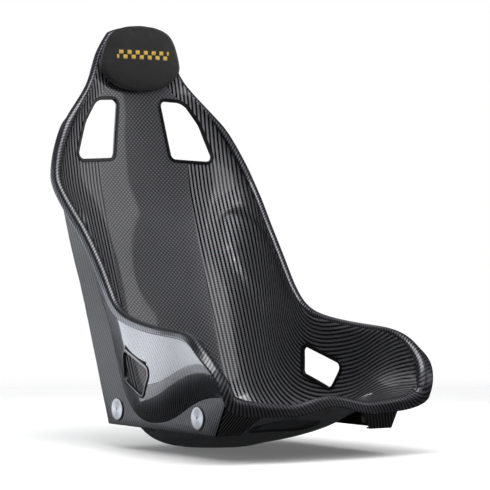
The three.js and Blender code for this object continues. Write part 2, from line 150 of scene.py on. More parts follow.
def setWorld():
    # The backdrop is bright where it is looked at, and dim as a light, as in a room with one lit wall
    world = bpy.data.worlds.new("studio")
    world.use_nodes = True
    tree = world.node_tree
    tree.nodes.clear()
    ray = addNode(tree, "ShaderNodeLightPath")
    wall = addNode(tree, "ShaderNodeBackground", Color=(1, 1, 1, 1), Strength=studio["backdrop"])
    height = addNode(tree, "ShaderNodeSeparateXYZ",
                     Vector=addNode(tree, "ShaderNodeTexCoord").outputs["Generated"])
    glow = addNode(tree, "ShaderNodeMapRange", {"interpolation_type": "SMOOTHSTEP"},
                   Value=height.outputs["Z"],
                   From_Min=-0.12, From_Max=0.25, To_Min=studio["roomDark"], To_Max=studio["roomGlow"])
    room = addNode(tree, "ShaderNodeBackground", Color=(0.93, 0.96, 1, 1), Strength=glow.outputs["Result"])
    both = addNode(tree, "ShaderNodeMixShader", i0=ray.outputs["Is Camera Ray"], i1=room.outputs[0],
                   i2=wall.outputs[0])
    addNode(tree, "ShaderNodeOutputWorld", Surface=both.outputs[0])
    scene.world = world


def layFloor():
    mesh = bpy.data.meshes.new("floor")
    mesh.from_pydata([(-6, -6, -0.0006), (6, -6, -0.0006), (6, 6, -0.0006), (-6, 6, -0.0006)], [],
                     [(0, 1, 2, 3)])
    floor = bpy.data.objects.new("floor", mesh)
    scene.collection.objects.link(floor)
    finish = bpy.data.materials.new("paintedFloor")   # matt pale grey paint, faintly uneven
    finish.use_nodes = True
    tree = finish.node_tree
    tree.nodes.clear()
    place = addNode(tree, "ShaderNodeTexCoord").outputs["Object"]
    far = addNode(tree, "ShaderNodeVectorMath", {"operation": "LENGTH"}, i0=place).outputs["Value"]
    near, away = studio["floorFade"]
    fade = addNode(tree, "ShaderNodeMapRange", {"interpolation_type": "SMOOTHSTEP"}, Value=far,
                   From_Min=near,
                   From_Max=away).outputs["Result"]
    cloud = addNode(tree, "ShaderNodeTexNoise", Vector=place, Scale=3.0, Detail=2.0).outputs["Fac"]
    rough = addNode(tree, "ShaderNodeMapRange", Value=cloud, To_Min=0.7, To_Max=0.85).outputs["Result"]
    paint = addNode(tree, "ShaderNodeBsdfPrincipled", Base_Color=linear(studio["floorTone"]),
                    Roughness=rough,
                    Emission_Color=(1, 1, 1, 1), Emission_Strength=studio["floorGlow"])
    clear = addNode(tree, "ShaderNodeBsdfTransparent")
    both = addNode(tree, "ShaderNodeMixShader", i0=fade, i1=paint.outputs[0], i2=clear.outputs[0])
    addNode(tree, "ShaderNodeOutputMaterial", Surface=both.outputs[0])
    mesh.materials.append(finish)
    floor.visible_glossy = False    # the seat's lacquer mirrors the dark room below, not the floor
    return floor


scene.view_settings.view_transform = "Standard"
setCamera()
setLamps()
setWorld()
setFloorLamp(layFloor())
print("camera and studio set")


def newFinish(name):
    finish = bpy.data.materials.new(name)
    finish.use_nodes = True
    finish.node_tree.nodes.clear()
    return finish, finish.node_tree


def closeFinish(tree, shader):
    addNode(tree, "ShaderNodeOutputMaterial", Surface=shader.outputs[0])


def carbonFinish(name, look):
    # Woven carbon under epoxy: tows "tow" mm wide pass over and under "over" others, turned by "turn"
    # degrees on the cloth's own UV map, which is in metres. A tow shines across its fibres, so warp and weft
    # flash in turn. That flash is also painted into the colour: painted sheen on the warp, painted shade on
    # the weft.
    finish, tree = newFinish(name)
    cloth = addNode(tree, "ShaderNodeUVMap", {"uv_map": "cloth"}).outputs["UV"]
    turned = addNode(tree, "ShaderNodeMapping", Vector=cloth, Rotation=(0, 0, math.radians(look["turn"])),
                     Scale=(1 / (look["tow"] * mm),) * 3).outputs["Vector"]
    drift = addNode(tree, "ShaderNodeTexNoise", Vector=cloth, Scale=18.0, Detail=1.0).outputs["Color"]
    swayed = addNode(tree, "ShaderNodeVectorMath", {"operation": "MULTIPLY_ADD"}, i0=drift,
                     i1=(look["sway"],) * 3,
                     i2=turned).outputs["Vector"]
    count = addNode(tree, "ShaderNodeVectorMath", {"operation": "FLOOR"}, i0=swayed).outputs["Vector"]
    within = addNode(tree, "ShaderNodeVectorMath", {"operation": "FRACTION"}, i0=swayed).outputs["Vector"]
    step = addNode(tree, "ShaderNodeVectorMath", {"operation": "DOT_PRODUCT"}, i0=count,
                   i1=(1, 1, 0)).outputs["Value"]
    cycle = addNode(tree, "ShaderNodeMath", {"operation": "FLOORED_MODULO"}, i0=step,
                    i1=2.0 * look["over"]).outputs[0]
    warpLit = addNode(tree, "ShaderNodeMath", {"operation": "LESS_THAN"}, i0=cycle,
                   i1=look["over"] - 0.5).outputs[0]
    centred = addNode(tree, "ShaderNodeVectorMath", {"operation": "MULTIPLY_ADD"}, i0=within, i1=(2, 2, 0),
                      i2=(-1, -1, 0)).outputs["Vector"]
    squared = addNode(tree, "ShaderNodeVectorMath", {"operation": "MULTIPLY"}, i0=centred,
                      i1=centred).outputs["Vector"]
    sides = addNode(tree, "ShaderNodeSeparateXYZ", Vector=squared)
    dip = addNode(tree, "ShaderNodeMix", Factor=warpLit, A=sides.outputs["Y"],
                  B=sides.outputs["X"]).outputs["Result"]
    height = addNode(tree, "ShaderNodeMath", {"operation": "SUBTRACT"}, i0=1.0, i1=dip).outputs[0]
    relief = addNode(tree, "ShaderNodeBump", Height=height, Strength=look["relief"],
                     Distance=0.06 * look["tow"] * mm)
    cloud = addNode(tree, "ShaderNodeTexNoise", Vector=cloth, Scale=9.0, Detail=3.0).outputs["Fac"]
    shade = addNode(tree, "ShaderNodeMath", {"operation": "MULTIPLY_ADD"}, i0=cloud, i1=0.35,
                    i2=0.82).outputs[0]
    # Painted sheen and shade: the warp tows take the lit tone, the weft tows the shaded tone
    tone = addNode(tree, "ShaderNodeMix", {"data_type": "RGBA"}, Factor=warpLit, A=linear(look["weftShaded"]),
                   B=linear(look["warpLit"]))
    # Painted darker towards each tow's edges: partly the resin gap between tows, partly painted shade on
    # their rounded sides
    gap = addNode(tree, "ShaderNodeMapRange", Value=height, From_Max=0.45, To_Min=look["gap"], To_Max=1.0)
    dark = addNode(tree, "ShaderNodeMath", {"operation": "MULTIPLY"}, i0=gap.outputs[0], i1=shade).outputs[0]
    colour = addNode(tree, "ShaderNodeVectorMath", {"operation": "SCALE"}, i0=tone.outputs["Result"],
                     Scale=dark)
    rough = addNode(tree, "ShaderNodeMapRange", Value=cloud, To_Min=look["rough"] - 0.04,
                    To_Max=look["rough"] + 0.05)
    lie = addNode(tree, "ShaderNodeMath", {"operation": "MULTIPLY_ADD"}, i0=warpLit, i1=0.25,
                  i2=look["turn"] / 360)
    metal = addNode(tree, "ShaderNodeMath", {"operation": "MULTIPLY_ADD"}, i0=warpLit,
                    i1=look["metallic"] - 1, i2=1.0)
    along = addNode(tree, "ShaderNodeTangent", {"direction_type": "UV_MAP", "uv_map": "cloth"})
    shader = addNode(tree, "ShaderNodeBsdfPrincipled", Base_Color=colour.outputs[0],
                     Metallic=metal.outputs[0],
                     Roughness=rough.outputs[0], Normal=relief.outputs[0], Anisotropic=look["flash"],
                     Anisotropic_Rotation=lie.outputs[0], Tangent=along.outputs[0], Coat_Weight=look["coat"],
                     Coat_Roughness=look["coatRough"])
    closeFinish(tree, shader)
    return finish


twill = {
    "tow": 2.15,            # mm, a 3K tow
    "over": 2,              # two over, two under: diagonal lines 6 mm apart
    "turn": 135,
    "sway": 0.25,           # tows wander by a quarter of their width
    # Painted sheen and shade: the lit tone of the warp tows and the shaded tone of the weft tows
    "warpLit": 0x77777C,
    "weftShaded": 0x0E0E10,
    # How dark the tows are painted at their edges: partly the resin gap, partly painted shade
    "gap": 0.25,
    "relief": 0.8,
    "rough": 0.36,
    "metallic": 0.85,       # carbon fibres reflect like a dark metal
    "flash": 0.7,
    "coat": 1.0,
    "coatRough": 0.05,
}

# Each carbon finish has its own lit and shaded tones: painted sheen and shade set for how the light falls on
# that part
finishes = {
    # Polished lacquer over a square-laid cloth, tows drawn 4.3 mm wide so that the squares show; painted in
    # lighter tones than the walls as painted light on the back
    "backPanelWeave": carbonFinish("backPanelWeave", {**twill, "over": 1, "tow": 4.3, "turn": 0, "gap": 0.04,
                                                      "sway": 0.1, "warpLit": 0x8C8C90, "weftShaded": 0x5A5A5E}),
    # Lacquered twill of a heavier tow, its lines run along the walls
    "wallTwill": carbonFinish("wallTwill", {**twill, "tow": 2.9, "turn": 137, "metallic": 0.45,
                                            "warpLit": 0x8E8E92, "weftShaded": 0x060607,
                                            "coat": 0.7, "relief": 0.4}),
    # Lacquered twill laid on the bias over the outside
    "outerTwill": carbonFinish("outerTwill", {**twill, "turn": 70}),
    # The strip over the rolled edge: the same cloth, less lacquer
    "lipTwill": carbonFinish("lipTwill", {**twill, "turn": 75, "rough": 0.42, "coat": 0.5, "coatRough": 0.12,
                                          "warpLit": 0x74747A, "weftShaded": 0x38383A}),
    # Underside: cloth against the mould with a thin dry resin
    "bellyTwill": carbonFinish("bellyTwill",
                               {**twill, "turn": 20, "coat": 0.2, "coatRough": 0.2, "relief": 1.0,
                                              "sway": 2.5, "warpLit": 0xB0B0B4, "weftShaded": 0x121214}),
    # Mounting boxes: the cloth under a thin satin resin, painted in darker tones as painted shade
    "boxTwill": carbonFinish("boxTwill", {**twill, "turn": 15, "coat": 0.25, "coatRough": 0.25, "rough": 0.5,
                                          "metallic": 0.5, "warpLit": 0x3E3E40, "weftShaded": 0x161618}),
}


def plasticFinish(name, smoothest, roughest):
    # Black and glossy, softly scuffed: extruded PVC edging, or bare cured resin
    finish, tree = newFinish(name)
    place = addNode(tree, "ShaderNodeTexCoord").outputs["Object"]
    cloud = addNode(tree, "ShaderNodeTexNoise", Vector=place, Scale=160.0, Detail=3.0).outputs["Fac"]
    rough = addNode(tree, "ShaderNodeMapRange", Value=cloud, To_Min=smoothest, To_Max=roughest).outputs[0]
    tone = addNode(tree, "ShaderNodeMix", {"data_type": "RGBA"}, Factor=cloud, A=linear(0x09090A),
                   B=linear(0x17171A))
    bump = addNode(tree, "ShaderNodeBump", Height=cloud, Strength=0.1, Distance=0.0002)
    closeFinish(tree,
                addNode(tree, "ShaderNodeBsdfPrincipled", Base_Color=tone.outputs["Result"], Roughness=rough,
                              Normal=bump.outputs[0]))
    return finish


def aluminiumFinish():
    # Faced on a lathe: rings 0.25 mm apart, drawn 1 mm apart, that spread the light across the cut
    finish, tree = newFinish("turnedAluminium")
    turned = addNode(tree, "ShaderNodeUVMap", {"uv_map": "turned"}).outputs["UV"]
    parts = addNode(tree, "ShaderNodeSeparateXYZ", Vector=turned)
    rings = addNode(tree, "ShaderNodeMath", {"operation": "MULTIPLY"}, i0=parts.outputs["Y"],
                    i1=6283.0).outputs[0]
    wave = addNode(tree, "ShaderNodeMath", {"operation": "SINE"}, i0=rings).outputs[0]
    place = addNode(tree, "ShaderNodeTexCoord").outputs["Object"]
    cloud = addNode(tree, "ShaderNodeTexNoise", Vector=place, Scale=220.0, Detail=4.0).outputs["Fac"]
    rough = addNode(tree, "ShaderNodeMapRange", Value=cloud, To_Min=0.34, To_Max=0.48).outputs[0]
    tone = addNode(tree, "ShaderNodeMix", {"data_type": "RGBA"}, Factor=cloud, A=linear(0x8C8E90),
                   B=linear(0xB4B6B8))
    bump = addNode(tree, "ShaderNodeBump", Height=wave, Strength=0.25, Distance=0.00004)
    along = addNode(tree, "ShaderNodeTangent", {"direction_type": "UV_MAP", "uv_map": "turned"})
    closeFinish(tree,
                addNode(tree, "ShaderNodeBsdfPrincipled", Base_Color=tone.outputs["Result"], Metallic=1.0,
                              Roughness=rough, Normal=bump.outputs[0], Anisotropic=0.75,
                              Tangent=along.outputs[0]))
    return finish


def suedeFinish(name, low, high, relief):
    # Microfibre suede: a short nap that is lighter where it was brushed, with a soft edge glow
    finish, tree = newFinish(name)
    place = addNode(tree, "ShaderNodeTexCoord").outputs["Object"]
    nap = addNode(tree, "ShaderNodeTexNoise", Vector=place, Scale=900.0, Detail=3.0).outputs["Fac"]
    brushed = addNode(tree, "ShaderNodeTexNoise", Vector=place, Scale=28.0, Detail=4.0,
                      Roughness=0.6).outputs["Fac"]
    blend = addNode(tree, "ShaderNodeMath", {"operation": "MULTIPLY_ADD"}, i0=nap, i1=0.45,
                    i2=-0.05).outputs[0]
    both = addNode(tree, "ShaderNodeMath", {"operation": "MULTIPLY_ADD"}, i0=brushed, i1=0.6,
                   i2=blend).outputs[0]
    tone = addNode(tree, "ShaderNodeMix", {"data_type": "RGBA"}, Factor=both, A=linear(low), B=linear(high))
    bump = addNode(tree, "ShaderNodeBump", Height=nap, Strength=relief, Distance=0.0003)
    closeFinish(tree,
                addNode(tree, "ShaderNodeBsdfPrincipled", Base_Color=tone.outputs["Result"], Roughness=0.95,
                              Normal=bump.outputs[0], Sheen_Weight=0.35, Sheen_Roughness=0.45))
    return finish


def grainFinish(name, low, high, scale, rough, relief):
    # Plain stuff with a grain of its own: foam cells, pressed board, tape pile, bare laminate
    finish, tree = newFinish(name)
    place = addNode(tree, "ShaderNodeTexCoord").outputs["Object"]
    grain = addNode(tree, "ShaderNodeTexVoronoi", Vector=place, Scale=scale).outputs["Distance"]
    cloud = addNode(tree, "ShaderNodeTexNoise", Vector=place, Scale=scale / 12, Detail=3.0).outputs["Fac"]
    both = addNode(tree, "ShaderNodeMath", {"operation": "MULTIPLY_ADD"}, i0=grain, i1=0.6,
                   i2=cloud).outputs[0]
    tone = addNode(tree, "ShaderNodeMix", {"data_type": "RGBA"}, Factor=both, A=linear(low), B=linear(high))
    bump = addNode(tree, "ShaderNodeBump", Height=grain, Strength=relief, Distance=0.3 / scale)
    closeFinish(tree,
                addNode(tree, "ShaderNodeBsdfPrincipled", Base_Color=tone.outputs["Result"], Roughness=rough,
                              Normal=bump.outputs[0]))
    return finish


finishes["blackEdging"] = plasticFinish("blackEdging", 0.16, 0.32)
finishes["bareResin"] = plasticFinish("bareResin", 0.06, 0.14)
finishes["turnedAluminium"] = aluminiumFinish()
finishes["suede"] = suedeFinish("charcoalSuede", 0x151516, 0x343435, 0.5)
# Welt and stitches: a darker suede than the cover, partly the welt's own colour and partly painted shade
# where the seam's shadow falls
finishes["welt"] = suedeFinish("darkWeltSeamShade", 0x0D0D0E, 0x1B1B1C, 0.3)
finishes["foam"] = grainFinish("openCellFoam", 0xA8A18C, 0xCFC8B2, 900.0, 0.95, 0.6)
finishes["board"] = grainFinish("pressedBoard", 0x5E5850, 0x8C857B, 500.0, 0.85, 0.3)
finishes["tape"] = grainFinish("pileTape", 0x0C0C0D, 0x2A2A2C, 1400.0, 0.95, 0.9)
finishes["laminate"] = grainFinish("glassLaminate", 0x4E4A40, 0x807A6A, 600.0, 0.6, 0.4)
finishes["thread"] = grainFinish("yellowThread", 0xC08A18, 0xF4D060, 1800.0, 0.55, 0.4)
print("materials made")


def newPiece(name, mesh, body, stands=()):
    piece = bpy.data.objects.new(name, mesh)
    scene.collection.objects.link(piece)
    if body:
        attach(piece, body)
    if stands:
        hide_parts(*stands)
    return piece


def meshFrom(name, points, faces, materials=(), kinds=None, uvs=None, uvName="cloth"):
    # Points are in millimetres in the seat's layout; uvs holds one row for each face corner
    mesh = bpy.data.meshes.new(name)
    placed = (np.asarray(points, float) + seatOrigin) * mm
    mesh.from_pydata(placed.tolist(), [], [list(map(int, face)) for face in faces])
    for finish in materials:
        mesh.materials.append(finish)
    if kinds is not None:
        mesh.polygons.foreach_set("material_index", np.asarray(kinds, np.int32))
    if uvs is not None:
        layer = mesh.uv_layers.new(name=uvName)
        layer.data.foreach_set("uv", (np.asarray(uvs, float) * mm).astype(np.float32).ravel())
    mesh.polygons.foreach_set("use_smooth", np.ones(len(mesh.polygons), bool))
    mesh.update()
    return mesh


def bakeModifiers(piece):
    # Swaps a piece's mesh for its finished one and drops the modifiers
    finished = bpy.data.meshes.new_from_object(piece.evaluated_get(bpy.context.evaluated_depsgraph_get()))
    piece.modifiers.clear()
    piece.data = finished
    return piece


def carve(piece, cutters):
    # Cuts every cutter out of the piece, then removes the cutters
    group = bpy.data.collections.new("cutters")
    scene.collection.children.link(group)
    for cutter in cutters:
        group.objects.link(cutter)
    cut = piece.modifiers.new("cut", "BOOLEAN")
    cut.operand_type, cut.collection, cut.solver = "COLLECTION", group, "EXACT"
    cut.material_mode = "TRANSFER"
    bakeModifiers(piece)
    for cutter in cutters:
        bpy.data.objects.remove(cutter)
    bpy.data.collections.remove(group)


def mirrorMesh(mesh, name):
    # The twin on the other side, its faces turned back to point outwards
    shape = bmesh.new()
    shape.from_mesh(mesh)
    for vertex in shape.verts:
        vertex.co.x = -vertex.co.x
    bmesh.ops.reverse_faces(shape, faces=shape.faces)
    twin = bpy.data.meshes.new(name)
    shape.to_mesh(twin)
    shape.free()
    for finish in mesh.materials:
        twin.materials.append(finish)
    return twin


def loftFaces(ringCount, ringSize, looped=False):
    # Quads between equal rings that run anticlockwise seen from the last ring, with end caps unless looped
    faces = []
    for r in range(ringCount if looped else ringCount - 1):
        low, high = r * ringSize, ((r + 1) % ringCount) * ringSize
        for k in range(ringSize):
            after = (k + 1) % ringSize
            faces.append((low + k, low + after, high + after, high + k))
    if not looped:
        top = (ringCount - 1) * ringSize
        faces.append(tuple(range(ringSize - 1, -1, -1)))
        faces.append(tuple(range(top, top + ringSize)))
    return faces


def roundedOutline(corners, grow=0.0, steps=8, spacing=3.0):
    # Convex outline of (a, b, radius) corners with round arcs, moved outward by grow
    places = np.array([c[:2] for c in corners], float)
    arcs = []
    for i, (a, b, radius) in enumerate(corners):
        before = places[i - 1] - places[i]
        after = places[(i + 1) % len(corners)] - places[i]
        before, after = before / np.linalg.norm(before), after / np.linalg.norm(after)
        half = math.acos(np.clip(before @ after, -1, 1)) / 2
        inward = (before + after) / np.linalg.norm(before + after)
        centre = places[i] + inward * radius / math.sin(half)
        heading = math.atan2(-inward[1], -inward[0])
        spread = (math.pi / 2 - half) * np.sign(before[0] * after[1] - before[1] * after[0])
        angles = heading - spread * (2 * np.arange(steps + 1) / steps - 1)
        arcs.append(centre + (radius + grow) * np.stack([np.cos(angles), np.sin(angles)], -1))
    outline = []
    for i, arc in enumerate(arcs):
        start, end = arc[-1], arcs[(i + 1) % len(arcs)][0]
        count = max(int(np.linalg.norm(end - start) / spacing), 1)
        outline += [*arc, *(start + (end - start) * k / count for k in range(1, count))]
    return np.array(outline)


bucket = {
    "skin": 3.0,            # mm of laminate
    "rows": 221,            # mesh rows from the front edge to the top of the head
    "columns": 49,          # mesh columns from the centre line to the rim
    "humpHalfWidth": 95,
    "panelHalfWidth": 104,  # half of the square-laid panel up the middle
    "panelMost": 0.6,       # and never more of a row than this, which keeps it clear of the rim at the head
    "panelColumns": 25,
    "pocket": {"fromRim": 51, "halfWidth": 47, "height": 392, "reach": 76, "edge": 0.16, "depth": 4.0,
               "fade": (235, 320)},
    "lipSoftening": 32,     # mm of edge over which the lip's direction is evened out
    "lipRings": 16,
    "lipGroove": 0.9,       # depth of the line where the lip strip starts
    "bellyTilt": 0.72,      # outer faces that look down more steeply than this are underside
    # Seat line y, z, hump; rim x, y, z; half width low down; squareness of the section
    "stations": [
        (-283, 101, 16, 204, -271, 127, 207, 2.1),
        (-256, 93, 13, 219, -255, 163, 224, 2.7),
        (-208, 78, 9, 224, -213, 203, 231, 2.7),
        (-152, 57, 5, 219, -173, 222, 229, 2.7),
        (-98, 40, 2, 215, -122, 227, 229, 3.1),
        (-50, 30, -2, 216, -74, 230, 229, 3.9),
        (-5, 19, -4, 214, -20, 234, 227, 4.0),
        (45, 8, -8, 209, 40, 242, 222, 4.0),
        (115, -3, -9, 207, 92, 254, 210, 3.4),
        (180, 25, -7, 205, 124, 274, 194, 3.1),
        (222, 71, -2, 204, 142, 294, 188, 3.1),
        (243, 125, 0, 203, 158, 314, 188, 3.2),
        (268, 195, 0, 204, 185, 352, 188, 3.0),
        (298, 275, 0, 207, 216, 391, 192, 2.8),
        (325, 345, 0, 210, 247, 427, 200, 2.5),
        (346, 405, 0, 216, 277, 459, 208, 2.3),
        (362, 455, 0, 220, 303, 488, 215, 2.1),
        (374, 497, 0, 221, 327, 514, 219, 1.9),
        (382, 535, 0, 215, 339, 540, 215, 1.7),
        (391, 590, 0, 197, 358, 587, 197, 1.6),
        (399, 650, 0, 165, 371, 645, 165, 1.6),
        (403, 683, 0, 144, 379, 675, 144, 1.6),
        (408, 718, 0, 113, 394, 712, 113, 1.7),
        (412, 750, 0, 96, 406, 743, 96, 1.8),
        (414, 790, 0, 85, 410, 781, 85, 2.0),
        (415, 832, 0, 57, 413, 821, 57, 2.4),
    ],
    # Rolled lip: half width, rise, turn in degrees, straight flange
    "lip": {"front": (9, 7, 105, 13), "corner": (12, 8, 140, 12), "side": (9, 7, 165, 10),
            "head": (9, 7, 150, 8)},
}


def splineWeights(t):
    # Six times the weights of four neighbouring control points on a uniform cubic B-spline
    return ((1 - t) ** 3, 3 * t ** 3 - 6 * t * t + 4, -3 * t ** 3 + 3 * t * t + 3 * t + 1, t ** 3)


def stationRows(u):
    rows = np.array(bucket["stations"], float)
    rows = np.vstack([2 * rows[0] - rows[1], rows, 2 * rows[-1] - rows[-2]])
    place = np.clip(u, 0, 1) * (len(rows) - 3)
    span = np.minimum(place.astype(int), len(rows) - 4)
    t = (place - span)[..., None]
    return sum(weight * rows[span + k] for k, weight in enumerate(splineWeights(t))) / 6


def bucketPoints(u, t):
    # Inner surface of one half, u from front edge to head and t from centre line to rim
    seatY, seatZ, hump, rimX, rimY, rimZ, wall, power = np.moveaxis(stationRows(u), -1, 0)
    angle = smoothStep(0, 1, t) * math.pi / 2
    flat = smoothStep(640, 735, rimZ)
    across = mix(np.sin(angle) ** (2 / power), t, flat)
    along = mix(1 - np.maximum(np.cos(angle), 0) ** (2 / power), t ** 2.5, flat)
    x = wall * across + (rimX - wall) * along ** 1.5
    reach = np.minimum(x / bucket["humpHalfWidth"], 1)
    z = seatZ + (rimZ - seatZ) * along + hump * (1 + np.cos(math.pi * reach)) / 2
    return np.stack([x, seatY + (rimY - seatY) * along, np.maximum(z, bucket["skin"])], -1)


def bucketNormals(u, t, step=1e-3):
    du = bucketPoints(np.minimum(u + step, 1), t) - bucketPoints(np.maximum(u - step, 0), t)
    dt = bucketPoints(u, np.minimum(t + step, 1)) - bucketPoints(u, np.maximum(t - step, 0))
    normals = np.cross(du, dt)
    normals[..., 0] = np.where(t < step, 0, normals[..., 0])
    return normals / np.linalg.norm(normals, axis=-1, keepdims=True)


def columnShares(rowShares):
    # Shares from centre line to rim for each row, with one column kept at the edge of the square-laid panel
    columns, inner = bucket["columns"], bucket["panelColumns"]
    dense = np.linspace(0, 1, 400)
    shares = []
    for u in rowShares:
        x = bucketPoints(np.full(dense.shape, u), dense)[:, 0]
        edge = min(np.interp(bucket["panelHalfWidth"], x, dense), bucket["panelMost"])
        shares.append(np.interp(np.arange(columns), (0, inner, columns - 1), (0, edge, 1)))
    return np.array(shares)


def pocketDepth(points, fromRim):
    # Shallow oval pocket for a rib support in each side wall, fading out towards the hips
    look = bucket["pocket"]
    z = points[..., 2]
    across = (fromRim - look["fromRim"]) / look["halfWidth"]
    up = np.maximum(z - look["height"], 0) / look["reach"]
    inside = smoothStep(0, look["edge"], 1 - np.hypot(across, up))
    return look["depth"] * inside * smoothStep(*look["fade"], z)


def bucketSheet():
    # Inner surface over the whole width: points, normals towards the back side, and lengths along the cloth
    columns = bucket["columns"]
    rowShares = np.linspace(0, 1, bucket["rows"])
    t = columnShares(rowShares)
    u = np.broadcast_to(rowShares[:, None], t.shape)
    half, halfNormals = bucketPoints(u, t), bucketNormals(u, t)
    mirror = np.array([-1, 1, 1])
    points = np.concatenate([half[:, :0:-1] * mirror, half], 1)
    normals = np.concatenate([halfNormals[:, :0:-1] * mirror, halfNormals], 1)
    across = np.zeros(points.shape[:2])
    across[:, 1:] = np.cumsum(np.linalg.norm(np.diff(points, axis=1), axis=-1), 1)
    across -= across[:, columns - 1:columns]
    fromRim = across[:, -1:] - np.abs(across)
    points = points + normals * pocketDepth(points, fromRim)[..., None]
    seatLine = points[:, columns - 1]
    along = np.concatenate([[0], np.cumsum(np.linalg.norm(np.diff(seatLine, axis=0), axis=-1))])
    cloth = np.stack([np.broadcast_to(along[:, None], across.shape), across], -1)
    return points, normals, cloth


def edgeLoop(shape):
    # Row and column of each point of the edge: front, left side up, head, right side down
    rows, width = shape
    front = [(0, j) for j in range(width)]
    left = [(i, width - 1) for i in range(1, rows)]
    head = [(rows - 1, j) for j in range(width - 2, -1, -1)]
    right = [(i, 0) for i in range(rows - 2, 0, -1)]
    return np.array(front + left + head + right)


def lipStyles(roots, loop, width):
    front, corner, side, head = (np.array(bucket["lip"][key], float)
                                 for key in ("front", "corner", "side", "head"))
    toCorner = smoothStep(110, 215, np.abs(roots[:, 0]))[:, None]
    toSide = smoothStep(-260, -150, roots[:, 1])[:, None]
    toHead = smoothStep(640, 760, roots[:, 2])[:, None]
    styles = mix(mix(corner, side, toSide), head, toHead)
    onSide = (loop[:, 1] == 0) | (loop[:, 1] == width - 1)
    atFront = (~onSide & (roots[:, 2] < 200))[:, None]
    return np.where(atFront, mix(front, corner, toCorner), styles)


def evenOut(vectors, places, total):
    # Weighs each vector with its neighbours within a set length of edge
    gap = np.abs(places[:, None] - places[None])
    gap = np.minimum(gap, total - gap)
    weights = np.exp(-0.5 * (gap / bucket["lipSoftening"]) ** 2) * np.gradient(places)[None]
    even = weights @ vectors
    return even / np.linalg.norm(even, axis=1, keepdims=True)


def lipRings(points, normals, loop):
    roots = points[loop[:, 0], loop[:, 1]]
    steps = np.linalg.norm(np.roll(roots, -1, 0) - roots, axis=1)
    places, total = np.concatenate([[0], np.cumsum(steps)[:-1]]), steps.sum()
    runs = np.roll(roots, -1, 0) - np.roll(roots, 1, 0)
    runs = runs / np.linalg.norm(runs, axis=1, keepdims=True)
    away = normals[loop[:, 0], loop[:, 1]]
    up = evenOut(np.cross(away, runs), places, total)
    away = evenOut(away, places, total)
    half, rise, turn, flange = (column[:, None] for column in lipStyles(roots, loop, points.shape[1]).T)
    faces, backs, lengths = [], [], [np.zeros(len(roots))]
    for share in np.linspace(0, 1, bucket["lipRings"] + 1)[1:]:
        angle = np.radians(turn) * min(share / 0.75, 1)
        straight = max(share - 0.75, 0) / 0.25 * flange
        runUp, runOut = rise * np.cos(angle), half * np.sin(angle)
        size = np.hypot(runUp, runOut)
        face = roots + up * (rise * np.sin(angle) + straight * runUp / size)
        face = face + away * (half * (1 - np.cos(angle)) + straight * runOut / size)
        backs.append(face - up * bucket["skin"] * runOut / size + away * bucket["skin"] * runUp / size)
        if not faces:
            face = face + away * bucket["lipGroove"]
        lengths.append(lengths[-1] + np.linalg.norm(face - (faces[-1] if faces else roots), axis=1))
        faces.append(face)
    return faces, backs, lengths, np.append(places, total)


def outerLayer(points, normals, depth):
    moved = points + normals * depth
    moved[..., 2] = np.maximum(moved[..., 2], bucket["skin"] - depth)
    return moved


def gridQuads(rows, width):
    i, j = np.meshgrid(np.arange(rows - 1), np.arange(width - 1), indexing="ij")
    a = (i * width + j).ravel()
    return np.stack([a, a + 1, a + width + 1, a + width], -1)


def makeShell(points, normals, cloth):
    rows, width = points.shape[:2]
    loop = edgeLoop((rows, width))
    faces, backs, lengths, places = lipRings(points, normals, loop)
    grid = gridQuads(rows, width)
    edge = loop[:, 0] * width + loop[:, 1]
    n, base = len(edge), rows * width
    rings = [edge] + [base + r * n + np.arange(n) for r in range(len(faces))]
    strip, stripCloth = [], []
    for r in range(len(faces)):
        ahead = np.roll(np.arange(n), -1)
        strip.append(np.stack([rings[r][ahead], rings[r], rings[r + 1], rings[r + 1][ahead]], -1))
        corners = [(places[1:], lengths[r][ahead]), (places[:-1], lengths[r]), (places[:-1], lengths[r + 1]),
                   (places[1:], lengths[r + 1][ahead])]
        stripCloth.append(np.stack([np.stack(corner, -1) for corner in corners], 1))
    strip, stripCloth = np.concatenate(strip), np.concatenate(stripCloth)
    front = np.concatenate([points.reshape(-1, 3), *faces])
    back = np.concatenate([outerLayer(points, normals, bucket["skin"]).reshape(-1, 3), *backs])
    shift = len(front)
    rim = np.stack([np.roll(rings[-1], -1), rings[-1], shift + rings[-1], shift + np.roll(rings[-1], -1)],
                   -1)
    gridCloth = cloth.reshape(-1, 2)[grid]
    allFaces = np.concatenate([grid, strip, (shift + grid)[:, ::-1], (shift + strip)[:, ::-1], rim])
    allCloth = np.concatenate([gridCloth, stripCloth, gridCloth[:, ::-1], stripCloth[:, ::-1],
                               stripCloth[-n:]])
    column = np.tile(np.arange(width - 1), rows - 1)
    centre = np.abs(column + 0.5 - (width - 1) / 2) < bucket["panelColumns"]
    looksDown = normals.reshape(-1, 3)[grid].mean(1)[:, 2] < -bucket["bellyTilt"]
    kinds = np.concatenate([np.where(centre, 0, 1), np.full(len(strip), 2), np.where(looksDown, 4, 3),
                            np.full(len(strip) + n, 2)])
    looks = [finishes[key]
             for key in ("backPanelWeave", "wallTwill", "lipTwill", "outerTwill", "bellyTwill")]
    return meshFrom("bucket_shell_fine", np.concatenate([front, back]), allFaces, looks, kinds, allCloth)


harnessSlot = [(49, 690, 12), (104, 687, 34), (136, 640, 60), (164, 561, 13), (68, 566, 13)]   # x, z, radius
lapSlot = [(105, 192, 10), (-13, 156, 12), (20, 106, 12), (101, 134, 12)]                      # y, z, radius
underRecess = {
    "corners": [(-76, -166, 24), (76, -166, 24), (70, -95, 24), (-70, -95, 24)],
    "depth": 2.4,
    "clearance": 4,         # how far the cutter stands out below the skin
}


